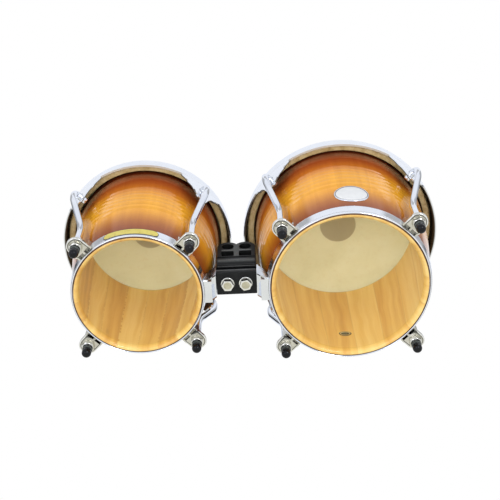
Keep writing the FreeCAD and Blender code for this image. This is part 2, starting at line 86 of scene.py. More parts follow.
# ================================================================ mesh helpers
def make_object(name, verts, faces, mats, face_mat=None, smooth=True, sharp=38.0):
    me = bpy.data.meshes.new(name)
    me.from_pydata([(x * MM, y * MM, z * MM) for x, y, z in verts], [], faces)
    for m in mats:
        me.materials.append(m)
    if face_mat:
        me.polygons.foreach_set("material_index", face_mat)
    me.validate()
    me.update()
    if smooth:
        me.polygons.foreach_set("use_smooth", [True] * len(me.polygons))
        me.set_sharp_from_angle(angle=math.radians(sharp))
    ob = bpy.data.objects.new(name, me)
    bpy.context.scene.collection.objects.link(ob)
    return ob


def fine(points, closed=True, step=1.0, keep=30.0):
    """Rounds nothing: only divides long edges of a profile so that a turned surface bends smoothly."""
    out = []
    n = len(points)
    last = n if closed else n - 1
    for i in range(last):
        a, b = points[i], points[(i + 1) % n]
        L = math.hypot(b[0] - a[0], b[1] - a[1])
        k = max(1, int(L / step))
        for j in range(k):
            t = j / k
            out.append((a[0] + (b[0] - a[0]) * t, a[1] + (b[1] - a[1]) * t))
    if not closed:
        out.append(points[-1])
    return out


def lathe(name, prof, d, mats, seg=256, mat_fn=None, closed=True, sharp=38.0, uv=True, warp=None):
    """Closed (r, z) profile in mm above the shell's bottom, turned round a drum's axis."""
    n = len(prof)
    verts, faces, fm = [], [], []
    ax = AX[d]
    for s in range(seg):
        a = 2 * math.pi * s / seg
        c, sn = math.cos(a), math.sin(a)
        for i, (r, z) in enumerate(prof):
            if warp:
                r, z = warp(r, z, a)
            verts.append((ax + r * c, r * sn, Z0 + z))
    last = n if closed else n - 1
    for s in range(seg):
        s2 = (s + 1) % seg
        for i in range(last):
            j = (i + 1) % n
            faces.append((s * n + i, s2 * n + i, s2 * n + j, s * n + j))
            fm.append(mat_fn(prof[i], prof[j], (s + 0.5) * 2 * math.pi / seg) if mat_fn else 0)
    ob = make_object(name, verts, faces, mats, fm, sharp=sharp)
    return ob


def bevel(ob, width, segments=3, angle=30.0):
    m = ob.modifiers.new("bevel", "BEVEL")
    m.width = width * MM
    m.segments = segments
    m.limit_method = "ANGLE"
    m.angle_limit = math.radians(angle)
    m.harden_normals = False
    return m


def apply_modifiers(ob):
    dg = bpy.context.evaluated_depsgraph_get()
    me = bpy.data.meshes.new_from_object(ob.evaluated_get(dg))
    ob.modifiers.clear()
    old = ob.data
    ob.data = me
    bpy.data.meshes.remove(old)


# ================================================================ materials
class Mat:
    """A node tree round one Principled shader."""

    def __init__(self, name):
        self.m = bpy.data.materials.new(name)
        self.m.use_nodes = True
        self.t = self.m.node_tree
        self.t.nodes.clear()
        self.out = self.t.nodes.new("ShaderNodeOutputMaterial")
        self.b = self.t.nodes.new("ShaderNodeBsdfPrincipled")
        self.t.links.new(self.b.outputs[0], self.out.inputs[0])
        self.bumps = None

    def n(self, kind, **kw):
        nd = self.t.nodes.new(kind)
        for k, v in kw.items():
            setattr(nd, k, v)
        return nd

    def link(self, a, b):
        self.t.links.new(a, b)

    def set(self, **kw):
        for k, v in kw.items():
            self.b.inputs[k.replace("_", " ")].default_value = v

    def coord(self):
        return self.n("ShaderNodeTexCoord").outputs["Object"]

    def scaled(self, vec, s):
        m = self.n("ShaderNodeVectorMath", operation="MULTIPLY")
        self.link(vec, m.inputs[0])
        m.inputs[1].default_value = s
        return m.outputs[0]

    def noise(self, vec, scale, detail=3.0, rough=0.55, dist=0.0):
        t = self.n("ShaderNodeTexNoise")
        t.inputs["Scale"].default_value = scale
        t.inputs["Detail"].default_value = detail
        t.inputs["Roughness"].default_value = rough
        t.inputs["Distortion"].default_value = dist
        if vec is not None:
            self.link(vec, t.inputs["Vector"])
        return t.outputs["Fac"]

    def ramp(self, fac, stops, mode="LINEAR"):
        r = self.n("ShaderNodeValToRGB")
        r.color_ramp.interpolation = mode
        e = r.color_ramp.elements
        while len(e) < len(stops):
            e.new(0.5)
        for el, (p, c) in zip(e, stops):
            el.position = p
            el.color = (c[0], c[1], c[2], 1.0)
        self.link(fac, r.inputs[0])
        return r.outputs[0]

    def remap(self, fac, a, b, c, d):
        m = self.n("ShaderNodeMapRange")
        m.inputs[1].default_value = a
        m.inputs[2].default_value = b
        m.inputs[3].default_value = c
        m.inputs[4].default_value = d
        self.link(fac, m.inputs[0])
        return m.outputs[0]

    def math(self, op, a, b=None, c=None):
        m = self.n("ShaderNodeMath", operation=op)
        for i, v in enumerate((a, b, c)):
            if v is None:
                continue
            if isinstance(v, (int, float)):
                m.inputs[i].default_value = v
            else:
                self.link(v, m.inputs[i])
        return m.outputs[0]

    def mix(self, fac, a, b, mode="MIX"):
        m = self.n("ShaderNodeMix", data_type="RGBA", blend_type=mode)
        for sock, v in ((m.inputs[0], fac), (m.inputs[6], a), (m.inputs[7], b)):
            if isinstance(v, (int, float)):
                sock.default_value = v
            elif isinstance(v, tuple):
                sock.default_value = (v[0], v[1], v[2], 1.0)
            else:
                self.link(v, sock)
        return m.outputs[2]

    def sep(self, vec):
        s = self.n("ShaderNodeSeparateXYZ")
        self.link(vec, s.inputs[0])
        return s.outputs

    def comb(self, x, y, z):
        s = self.n("ShaderNodeCombineXYZ")
        for i, v in enumerate((x, y, z)):
            if isinstance(v, (int, float)):
                s.inputs[i].default_value = v
            else:
                self.link(v, s.inputs[i])
        return s.outputs[0]

    def bump(self, height, strength, distance):
        b = self.n("ShaderNodeBump")
        b.inputs["Strength"].default_value = strength
        b.inputs["Distance"].default_value = distance
        self.link(height, b.inputs["Height"])
        if self.bumps is not None:
            self.link(self.bumps, b.inputs["Normal"])
        self.bumps = b.outputs[0]
        self.link(self.bumps, self.b.inputs["Normal"])
        return self.bumps


def lin(r, g, b):
    """sRGB 0-255 to linear."""
    o = []
    for v in (r, g, b):
        v /= 255.0
        o.append(v / 12.92 if v <= 0.04045 else ((v + 0.055) / 1.055) ** 2.4)
    return tuple(o)


def mat_chrome(name, dark=(0.80, 0.825, 0.87), light=(0.90, 0.915, 0.94), r0=0.03, r1=0.11, waves=0.4):
    k = Mat(name)
    o = k.coord()
    blot = k.noise(o, 38.0, 4.0, 0.6)
    k.link(k.ramp(blot, [(0.3, dark), (0.7, light)]), k.b.inputs["Base Color"])
    fine_n = k.noise(k.scaled(o, (900.0, 900.0, 260.0)), 1.0, 3.0, 0.7)
    smear = k.noise(o, 90.0, 5.0, 0.65, 0.4)
    r = k.math("ADD", k.remap(smear, 0.35, 0.75, r0, r1), k.remap(fine_n, 0.5, 0.8, 0.0, 0.05))
    k.link(r, k.b.inputs["Roughness"])
    k.set(Metallic=1.0)
    k.bump(k.noise(o, 55.0, 2.0, 0.5), waves, 0.00012)
    k.bump(fine_n, 0.15, 0.00001)
    return k.m


def mat_rim(name, d, beige_foot=True):
    """Plated outside; the unpolished inner wall is dull, and painted dark as painted shade in the narrow gap by the
    skin edge; dull beige and not metallic along the front of the lower edge.
    """
    m = mat_chrome(name, (0.84, 0.865, 0.90), (0.92, 0.935, 0.955), 0.10, 0.18, 0.22)
    t = m.node_tree
    b = [n for n in t.nodes if n.type == "BSDF_PRINCIPLED"][0]
    k = Mat.__new__(Mat)
    k.m, k.t, k.b, k.bumps = m, t, b, None
    o = k.coord()
    x, y, z = k.sep(o)
    dx = k.math("SUBTRACT", x, AX[d] * MM)
    r = k.math("SQRT", k.math("ADD", k.math("MULTIPLY", dx, dx), k.math("MULTIPLY", y, y)))
    # inner wall: rougher for its unpolished finish, and painted dark brown as painted shade in the narrow gap behind
    # the rim
    edge = k.math("ADD", r, k.remap(k.noise(o, 60.0, 2.0, 0.5), 0.3, 0.7, -0.0001, 0.0001))
    inside = k.remap(edge, (RIM_R[d] - 1.15) * MM, (RIM_R[d] - 1.55) * MM, 0.0, 1.0)
    lower = k.remap(z, (Z0 + 154.0) * MM, (Z0 + 153.0) * MM, 0.0, 1.0)
    mask = k.math("MULTIPLY", inside, lower)
    col = b.inputs["Base Color"].links[0].from_socket
    # the front of the lower edge is painted dull beige and made mostly non-metallic
    foot = k.math("MULTIPLY", k.remap(z, (Z0 + 135.35) * MM, (Z0 + 135.15) * MM, 0.0, 1.0), k.remap(y, -0.050, -0.078, 0.0, 1.0 if beige_foot else 0.0))
    k.link(k.mix(foot, k.mix(mask, col, (0.15, 0.13, 0.10)), (0.42, 0.39, 0.34)), b.inputs["Base Color"])
    rough = b.inputs["Roughness"].links[0].from_socket
    k.link(k.math("ADD", rough, k.math("MULTIPLY", k.math("MAXIMUM", mask, foot), 0.42)), b.inputs["Roughness"])
    k.link(k.math("SUBTRACT", 1.0, k.math("MULTIPLY", foot, 0.85)), b.inputs["Metallic"])
    return m


def mat_nickel(name, tones=((0.60, 0.585, 0.50), (0.72, 0.70, 0.62), (0.80, 0.785, 0.72))):
    k = Mat(name)
    o = k.coord()
    blot = k.noise(o, 120.0, 5.0, 0.65)
    k.link(k.ramp(blot, [(0.3, tones[0]), (0.55, tones[1]), (0.75, tones[2])]), k.b.inputs["Base Color"])
    fine_n = k.noise(k.scaled(o, (1800.0, 500.0, 900.0)), 1.0, 3.0, 0.7)
    k.link(k.math("ADD", k.remap(blot, 0.3, 0.75, 0.07, 0.15), k.remap(fine_n, 0.45, 0.8, 0.0, 0.06)), k.b.inputs["Roughness"])
    k.set(Metallic=1.0)
    k.bump(k.noise(o, 160.0, 3.0, 0.6), 0.25, 0.00012)
    k.bump(fine_n, 0.25, 0.00002)
    return k.m


EAR_NOSE, EAR_W, EAR_IN = 10.4, 10.6, 6.34


def mat_ear(name, d):
    """Satin nickel; the pressed rim of the plate is painted brighter as a painted highlight, and the groove behind it
    is painted near-black and rougher as a painted dark reflection.
    """
    m = mat_nickel(name)
    t = m.node_tree
    b = [n for n in t.nodes if n.type == "BSDF_PRINCIPLED"][0]
    k = Mat.__new__(Mat)
    k.m, k.t, k.b, k.bumps = m, t, b, None
    o = k.coord()
    x, y, z = k.sep(o)
    # folded into one quarter: u outwards through the rod, v sideways, both from the nose's centre
    ax = k.math("ABSOLUTE", k.math("SUBTRACT", x, AX[d] * MM))
    ay = k.math("ABSOLUTE", y)
    q = math.sqrt(0.5)
    u = k.math("SUBTRACT", k.math("MULTIPLY", k.math("ADD", ax, ay), q), ROD_LOW[d] * MM)
    v = k.math("ABSOLUTE", k.math("MULTIPLY", k.math("SUBTRACT", ax, ay), q))
    du, dv = shell_r(d, 0) + EAR_IN - ROD_LOW[d], EAR_W
    tang = math.atan2(dv, du) - math.acos(EAR_NOSE / math.hypot(du, dv))
    ct, st = math.cos(tang), math.sin(tang)
    line = k.math("ADD", k.math("MULTIPLY", u, ct), k.math("MULTIPLY", v, st))
    circ = k.math("SQRT", k.math("ADD", k.math("MULTIPLY", u, u), k.math("MULTIPLY", v, v)))
    nose = k.math("GREATER_THAN", k.math("SUBTRACT", k.math("MULTIPLY", u, st), k.math("MULTIPLY", v, ct)), 0.0)
    far = k.math("ADD", k.math("MULTIPLY", circ, nose), k.math("MULTIPLY", line, k.math("SUBTRACT", 1.0, nose)))
    dist = k.math("SUBTRACT", EAR_NOSE * MM, far)
    wob = k.remap(k.noise(o, 200.0, 2.0, 0.5), 0.3, 0.7, -0.00015, 0.00015)
    dist = k.math("ADD", dist, wob)
    # painted dark reflection: a groove line behind the pressed rim, below the plate's top and away from the ring, is
    # painted near-black and made rougher
    groove = k.math("MULTIPLY", k.remap(dist, 0.00135, 0.00155, 0.0, 1.0), k.remap(dist, 0.00255, 0.00230, 0.0, 1.0))
    below = k.remap(z, (Z0 + 2.9) * MM, (Z0 + 2.6) * MM, 0.0, 1.0)
    beyond = k.remap(u, -0.0165, -0.0135, 0.0, 1.0)
    mask = k.math("MULTIPLY", k.math("MULTIPLY", groove, below), k.math("MULTIPLY", beyond, 0.86))
    col = b.inputs["Base Color"].links[0].from_socket
    # painted highlight: the pressed rim along the plate's outer edge is painted brighter
    rim = k.math("MULTIPLY", k.remap(dist, 0.0015, 0.0013, 0.0, 1.0), below)
    c = k.mix(k.math("MULTIPLY", rim, 0.8), col, (0.93, 0.93, 0.90))
    c = k.mix(mask, c, (0.045, 0.043, 0.034))
    k.link(c, b.inputs["Base Color"])
    rough = b.inputs["Roughness"].links[0].from_socket
    k.link(k.math("ADD", rough, k.math("MULTIPLY", mask, 0.30)), b.inputs["Roughness"])
    return m


def mat_rubber(name):
    k = Mat(name)
    o = k.coord()
    dust_and_sheen = k.noise(o, 210.0, 5.0, 0.7)
    x, y, z = k.sep(o)
    c = k.ramp(dust_and_sheen, [(0.35, (0.0015, 0.0015, 0.002)), (0.62, (0.003, 0.003, 0.004)), (0.82, (0.012, 0.012, 0.012))])
    # painted sheen: a band round the cap's sleeve is painted lighter grey-green and rougher, varied by the dust noise
    sleeve = k.math("MULTIPLY", k.remap(z, 0.0084, 0.0088, 0.0, 1.0), k.remap(z, 0.0120, 0.0114, 0.0, 1.0))
    c = k.mix(k.math("MULTIPLY", sleeve, k.remap(dust_and_sheen, 0.30, 0.60, 0.35, 0.75)), c, (0.085, 0.100, 0.092))
    k.link(c, k.b.inputs["Base Color"])
    k.link(k.math("ADD", k.remap(dust_and_sheen, 0.3, 0.8, 0.12, 0.24), k.math("MULTIPLY", sleeve, 0.2)), k.b.inputs["Roughness"])
    k.set(Specular_IOR_Level=0.27)
    k.bump(k.noise(o, 1500.0, 3.0, 0.6), 0.30, 0.00003)
    k.bump(k.noise(o, 150.0, 2.0, 0.5), 0.25, 0.0001)
    return k.m


def mat_block(name):
    """Black moulded plastic, dusty, with painted highlights as pale bands along its ledges, ribs and the bridge over
    the windows, and down the middle column.
    """
    k = Mat(name)
    o = k.coord()
    x, y, z = k.sep(o)
    wear = k.noise(o, 95.0, 6.0, 0.7, 0.3)
    spots = k.noise(o, 620.0, 4.0, 0.65)
    base = k.ramp(wear, [(0.30, (0.0035, 0.0038, 0.0040)), (0.60, (0.007, 0.0076, 0.0078)), (0.82, (0.018, 0.019, 0.017))])
    c = k.mix(k.remap(spots, 0.60, 0.76, 0.0, 0.5), base, (0.055, 0.058, 0.054))
    bx = mid("block_washers").x
    ax = k.math("ABSOLUTE", k.math("SUBTRACT", x, bx))
    outer = k.remap(y, -0.0128, -0.0136, 0.0, 1.0)

    def band(v, a, b, soft):
        return k.math("MULTIPLY", k.remap(v, a - soft, a, 0.0, 1.0), k.remap(v, b + soft, b, 0.0, 1.0))

    # painted highlights: pale bands on the front face under the round holes, along the ledge and two ribs and down the
    # middle column, mottled by the spot noise
    highlight_mottle = k.remap(spots, 0.34, 0.62, 0.45, 1.0)
    col = (0.155, 0.170, 0.168)
    for lo, hi, soft, x0, x1, w in ((94.2, 96.0, 0.7, 3.6, 16.6, 0.85), (64.0, 67.0, 3.2, -1.0, 20.4, 0.50), (54.0, 55.0, 0.6, -1.0, 20.6, 0.75),
                                    (43.6, 44.6, 0.7, -1.0, 20.6, 0.60), (80.5, 110.0, 2.0, -1.0, 3.0, 0.50)):
        f = k.math("MULTIPLY", band(z, lo * MM, hi * MM, soft * MM), band(ax, x0 * MM, x1 * MM, 0.0009))
        c = k.mix(k.math("MULTIPLY", k.math("MULTIPLY", f, outer), k.math("MULTIPLY", highlight_mottle, w)), c, col)
    k.link(c, k.b.inputs["Base Color"])
    k.link(k.math("ADD", k.remap(wear, 0.3, 0.8, 0.30, 0.50), k.remap(spots, 0.4, 0.8, 0.0, 0.12)), k.b.inputs["Roughness"])
    k.set(Specular_IOR_Level=0.20)
    k.bump(k.noise(o, 1100.0, 3.0, 0.6), 0.35, 0.00005)
    k.bump(k.noise(o, 60.0, 2.0, 0.5), 0.2, 0.0002)
    return k.m


def mat_enamel(name, a, b, rough=(0.12, 0.28)):
    k = Mat(name)
    o = k.coord()
    f = k.noise(o, 160.0, 4.0, 0.6)
    k.link(k.ramp(f, [(0.3, a), (0.7, b)]), k.b.inputs["Base Color"])
    k.link(k.remap(f, 0.3, 0.75, rough[0], rough[1]), k.b.inputs["Roughness"])
    k.set(Coat_Weight=0.4, Coat_Roughness=0.08)
    k.bump(k.noise(o, 500.0, 2.0, 0.5), 0.12, 0.00005)
    return k.m


def burst_stops():
    return [
        (0.00, (0.130, 0.024, 0.008)),
        (0.06, (0.190, 0.040, 0.010)),
        (0.14, (0.285, 0.075, 0.012)),
        (0.20, (0.390, 0.130, 0.015)),
        (0.26, (0.550, 0.220, 0.020)),
        (0.32, (0.740, 0.330, 0.026)),
        (0.38, (0.800, 0.375, 0.028)),
        (0.52, (0.810, 0.375, 0.028)),
        (0.60, (0.730, 0.290, 0.024)),
        (0.67, (0.560, 0.160, 0.020)),
        (0.74, (0.430, 0.098, 0.018)),
        (0.80, (0.360, 0.068, 0.016)),
        (0.87, (0.190, 0.029, 0.007)),
        (0.93, (0.075, 0.014, 0.005)),
        (1.00, (0.018, 0.007, 0.004)),
    ]


def mat_shell_out(name, d):
    """Clear lacquer over an amber burst: colour by height, grain along the staves, fine turned ridges."""
    k = Mat(name)
    o = k.coord()
    uvn = k.n("ShaderNodeUVMap")
    uvn.uv_map = "stave_uv"
    u, v, _w = k.sep(uvn.outputs[0])
    x, y, z = k.sep(o)
    h = k.math("DIVIDE", k.math("SUBTRACT", z, Z0 * MM), SHELL_H * MM)
    drift = k.noise(k.scaled(o, (1.0, 1.0, 0.5)), 18.0, 3.0, 0.5)
    hh = k.math("ADD", h, k.remap(drift, 0.2, 0.8, -0.018, 0.018))
    burst = k.ramp(hh, burst_stops())
    grain_v = k.comb(k.math("MULTIPLY", u, 190.0), k.math("MULTIPLY", v, 9.0), 0.0)
    grain = k.noise(grain_v, 1.0, 5.0, 0.62, 0.6)
    pores_v = k.comb(k.math("MULTIPLY", u, 1500.0), k.math("MULTIPLY", v, 42.0), 0.0)
    pores = k.noise(pores_v, 1.0, 3.0, 0.7)
    g = k.mix(k.remap(grain, 0.32, 0.72, 0.0, 0.42), burst, k.mix(1.0, burst, (0.72, 0.58, 0.42), "MULTIPLY"))
    g = k.mix(k.remap(pores, 0.60, 0.75, 0.0, 0.30), g, k.mix(1.0, g, (0.55, 0.42, 0.30), "MULTIPLY"))
    at = k.n("ShaderNodeAttribute", attribute_name="stave_tone")
    tone = k.remap(at.outputs["Fac"], 0.0, 1.0, 0.90, 1.08)
    g = k.mix(1.0, g, k.comb(tone, tone, tone), "MULTIPLY")
    k.link(g, k.b.inputs["Base Color"])
    k.link(k.remap(grain, 0.3, 0.7, 0.26, 0.36), k.b.inputs["Roughness"])
    k.set(Coat_Weight=1.0, Coat_Roughness=0.03, Coat_IOR=1.5, Specular_IOR_Level=0.0)
    # turned ridges under the lacquer: height varies with z only
    zz = k.comb(0.0, 0.0, k.math("MULTIPLY", z, 175.0))
    rings = k.noise(zz, 1.0, 2.0, 0.45)
    lo = k.remap(h, 0.22, 0.38, 0.0, 1.0)
    hi = k.remap(h, 0.66, 0.80, 1.0, 0.0)
    amt = k.math("MULTIPLY", k.math("MULTIPLY", lo, hi), rings)
    wob = k.noise(o, 16.0, 2.0, 0.5)
    k.bump(k.math("ADD", k.math("MULTIPLY", amt, 0.85), k.math("MULTIPLY", wob, 0.5)), 0.55, 0.0007)
    # the lacquer follows the same ridges
    k.link(k.bumps, k.b.inputs["Coat Normal"])
    return k.m


def mat_shell_in(name, tones):
    """Clear-coated staves: each its own tone, with soft streaks, figure and pores along the grain."""
    k = Mat(name)
    uvn = k.n("ShaderNodeUVMap")
    uvn.uv_map = "stave_uv"
    u, v, _w = k.sep(uvn.outputs[0])
    at = k.n("ShaderNodeAttribute", attribute_name="stave_tone")
    tone = at.outputs["Fac"]
    wander = k.noise(k.comb(k.math("MULTIPLY", u, 14.0), k.math("MULTIPLY", v, 11.0), 0.0), 1.0, 2.0, 0.5)
    uw = k.math("ADD", u, k.remap(wander, 0.2, 0.8, -0.004, 0.004))
    broad = k.noise(k.comb(k.math("MULTIPLY", uw, 85.0), k.math("MULTIPLY", v, 3.2), 0.0), 1.0, 3.0, 0.5)
    streak = k.noise(k.comb(k.math("MULTIPLY", uw, 420.0), k.math("MULTIPLY", v, 7.0), 0.0), 1.0, 4.0, 0.6)
    pores = k.noise(k.comb(k.math("MULTIPLY", uw, 2600.0), k.math("MULTIPLY", v, 70.0), 0.0), 1.0, 2.0, 0.6)
    knots = k.noise(k.comb(k.math("MULTIPLY", u, 45.0), k.math("MULTIPLY", v, 16.0), 3.0), 1.0, 2.0, 0.5)
    t = k.math("ADD", tone, k.remap(broad, 0.30, 0.70, -0.36, 0.36))
    base = k.ramp(t, tones)
    c = k.mix(k.remap(streak, 0.46, 0.74, 0.0, 0.30), base, k.mix(1.0, base, (0.84, 0.68, 0.50), "MULTIPLY"))
    c = k.mix(k.remap(streak, 0.42, 0.22, 0.0, 0.25), c, k.mix(1.0, c, (1.10, 1.13, 1.20), "MULTIPLY"))
    c = k.mix(k.remap(pores, 0.58, 0.78, 0.0, 0.22), c, k.mix(1.0, c, (0.74, 0.60, 0.44), "MULTIPLY"))
    c = k.mix(k.remap(knots, 0.72, 0.80, 0.0, 0.30), c, (0.36, 0.17, 0.05))
    ed = k.n("ShaderNodeAttribute", attribute_name="stave_edge")
    c = k.mix(k.remap(ed.outputs["Fac"], 0.94, 1.0, 0.0, 0.20), c, (0.30, 0.14, 0.045))
    # the rounding at the open end is painted a little darker as painted shade, against the extra light its
    # downward-facing surface catches
    px, py, pz = k.sep(k.coord())
    c = k.mix(k.remap(pz, (Z0 + 8.2) * MM, (Z0 + 6.6) * MM, 0.0, 1.0), c, k.mix(1.0, c, (0.87, 0.86, 0.86), "MULTIPLY"))
    c = k.mix(k.remap(pz, (Z0 + 5.0) * MM, (Z0 + 1.0) * MM, 0.0, 1.0), c, k.mix(1.0, c, (0.90, 0.90, 0.92), "MULTIPLY"))
    k.link(c, k.b.inputs["Base Color"])
    k.link(k.remap(pores, 0.3, 0.8, 0.30, 0.46), k.b.inputs["Roughness"])
    k.set(Coat_Weight=0.35, Coat_Roughness=0.16, Specular_IOR_Level=0.4)
    k.bump(streak, 0.12, 0.00015)
    k.bump(pores, 0.22, 0.00006)
    return k.m


def mat_shell_edge(name):
    k = Mat(name)
    o = k.coord()
    f = k.noise(k.scaled(o, (1.0, 1.0, 4.0)), 240.0, 4.0, 0.65)
    k.link(k.ramp(f, [(0.3, (0.085, 0.035, 0.014)), (0.55, (0.13, 0.055, 0.022)), (0.8, (0.18, 0.080, 0.032))]), k.b.inputs["Base Color"])
    k.link(k.remap(f, 0.3, 0.8, 0.25, 0.42), k.b.inputs["Roughness"])
    k.set(Coat_Weight=0.8, Coat_Roughness=0.08)
    k.bump(f, 0.3, 0.00008)
    return k.m


DISC_R = {"small": 19.6, "large": 21.6}


def mat_skin_edge(name, d):
    """The hide where it turns over the hoop: doubled, so it lets no light through, with creases and darker stains,
    darker towards the top of the wrap, and painted shade on its inner wall.
    """
    k = Mat(name)
    o = k.coord()
    x, y, z = k.sep(o)
    stain = k.noise(k.scaled(o, (1.0, 1.0, 0.4)), 120.0, 5.0, 0.65, 0.5)
    crease = k.noise(k.scaled(o, (1.0, 1.0, 0.25)), 520.0, 3.0, 0.6)
    c = k.ramp(stain, [(0.26, lin(160, 132, 84)), (0.48, lin(196, 172, 122)), (0.74, lin(216, 196, 150))])
    c = k.mix(k.remap(crease, 0.52, 0.75, 0.0, 0.35), c, lin(140, 112, 66))
    c = k.mix(k.remap(z, (Z0 + 156.5) * MM, (Z0 + 161.0) * MM, 0.0, 0.35), c, lin(150, 120, 70))
    # painted shade: the inner wall of the wrap, leaning outwards towards the top, is painted near-black for the shadow
    # in the narrow gap
    dx = k.math("SUBTRACT", x, AX[d] * MM)
    r = k.math("SQRT", k.math("ADD", k.math("MULTIPLY", dx, dx), k.math("MULTIPLY", y, y)))
    lean = k.math("ADD", r, k.math("MULTIPLY", k.remap(z, (Z0 + 156.0) * MM, (Z0 + 162.0) * MM, 0.0, 1.0), 0.0011))
    c = k.mix(k.remap(lean, (88.75 + KX[d]) * MM, (88.40 + KX[d]) * MM, 0.0, 0.88), c, (0.050, 0.028, 0.012))
    k.link(c, k.b.inputs["Base Color"])
    k.link(k.remap(stain, 0.3, 0.8, 0.38, 0.58), k.b.inputs["Roughness"])
    k.set(Specular_IOR_Level=0.35)
    k.bump(stain, 0.25, 0.0004)
    k.bump(crease, 0.30, 0.00012)
    return k.m


def mat_skin(name, d):
    """Rawhide: cream body with fibres and mottling; plain round print."""
    k = Mat(name)
    o = k.coord()
    x, y, z = k.sep(o)
    dx = k.math("SUBTRACT", x, AX[d] * MM)
    r = k.math("SQRT", k.math("ADD", k.math("MULTIPLY", dx, dx), k.math("MULTIPLY", y, y)))
    mott = k.noise(o, 26.0, 5.0, 0.6, 0.5)
    spot = k.noise(o, 190.0, 4.0, 0.6)
    fib = k.noise(k.scaled(o, (420.0, 95.0, 200.0)), 1.0, 4.0, 0.7, 0.7)
    body = k.ramp(mott, [(0.25, lin(218, 217, 187)), (0.5, lin(225, 224, 196)), (0.78, lin(230, 230, 206))])
    body = k.mix(k.remap(spot, 0.55, 0.80, 0.0, 0.16), body, lin(196, 168, 112))
    body = k.mix(k.remap(fib, 0.56, 0.80, 0.0, 0.30), body, lin(228, 218, 184))
    # print: a plain disc, soft at its edge
    edge = k.math("ADD", r, k.remap(spot, 0.3, 0.8, -0.0002, 0.0002))
    disc = k.remap(edge, DISC_R[d] * MM, (DISC_R[d] + 0.5) * MM, 1.0, 0.0)
    body = k.mix(k.math("MULTIPLY", disc, 0.45), body, lin(112, 94, 56))
    k.link(body, k.b.inputs["Base Color"])
    k.link(k.remap(fib, 0.3, 0.8, 0.42, 0.62), k.b.inputs["Roughness"])
    k.set(Specular_IOR_Level=0.35)
    k.bump(mott, 0.25, 0.0006)
    k.bump(fib, 0.25, 0.00010)
    tl = k.n("ShaderNodeBsdfTranslucent")
    k.link(body, tl.inputs["Color"])
    ms = k.n("ShaderNodeMixShader")
    ms.inputs[0].default_value = 0.38
    k.link(k.b.outputs[0], ms.inputs[1])
    k.link(tl.outputs[0], ms.inputs[2])
    k.link(ms.outputs[0], k.out.inputs[0])
    return k.m


CHROME = mat_chrome("chrome_plate")
CHROME_RIM = mat_chrome("chrome_rim", (0.82, 0.845, 0.89), (0.91, 0.925, 0.95), 0.10, 0.17, 0.25)
RIM_MAT = {d: mat_rim("rim_plate_" + d, d) for d in ("small", "large")}
PLATE_MAT = {d: mat_rim("side_plate_" + d, d, False) for d in ("small", "large")}
CHROME_BRK = mat_chrome("chrome_bracket", (0.78, 0.80, 0.83), (0.88, 0.90, 0.92), 0.06, 0.16, 0.5)
NICKEL = mat_nickel("satin_nickel")
EAR = {d: mat_ear("ear_nickel_" + d, d) for d in ("small", "large")}
STEEL = mat_nickel("hoop_steel")
BOLT_FACE = mat_nickel("bolt_face", ((0.80, 0.79, 0.73), (0.88, 0.875, 0.82), (0.93, 0.925, 0.88)))
BOLT_DISH = mat_nickel("bolt_dish", ((0.50, 0.47, 0.34), (0.64, 0.61, 0.47), (0.80, 0.78, 0.66)))
# painted reflection: the bolts' sides and shanks are painted dark, standing for the black block they reflect
BOLT_SIDE = mat_nickel("bolt_side", ((0.10, 0.095, 0.08), (0.15, 0.145, 0.125), (0.24, 0.235, 0.21)))
RUBBER = mat_rubber("cap_rubber")
PAD = mat_rubber("pad_rubber")
BLOCK = mat_block("block_black")
PLATE = mat_enamel("white_enamel", lin(206, 208, 210), lin(216, 218, 220), (0.28, 0.36))
LABEL = mat_enamel("label_yellow", lin(188, 172, 74), lin(206, 192, 92), (0.25, 0.4))
STICKER = mat_enamel("sticker_dark", lin(38, 34, 22), lin(58, 52, 36), (0.2, 0.35))
LABEL_LINE = mat_enamel("sticker_line", lin(206, 182, 118), lin(222, 200, 138), (0.25, 0.4))
EDGE = mat_shell_edge("stave_end_grain")


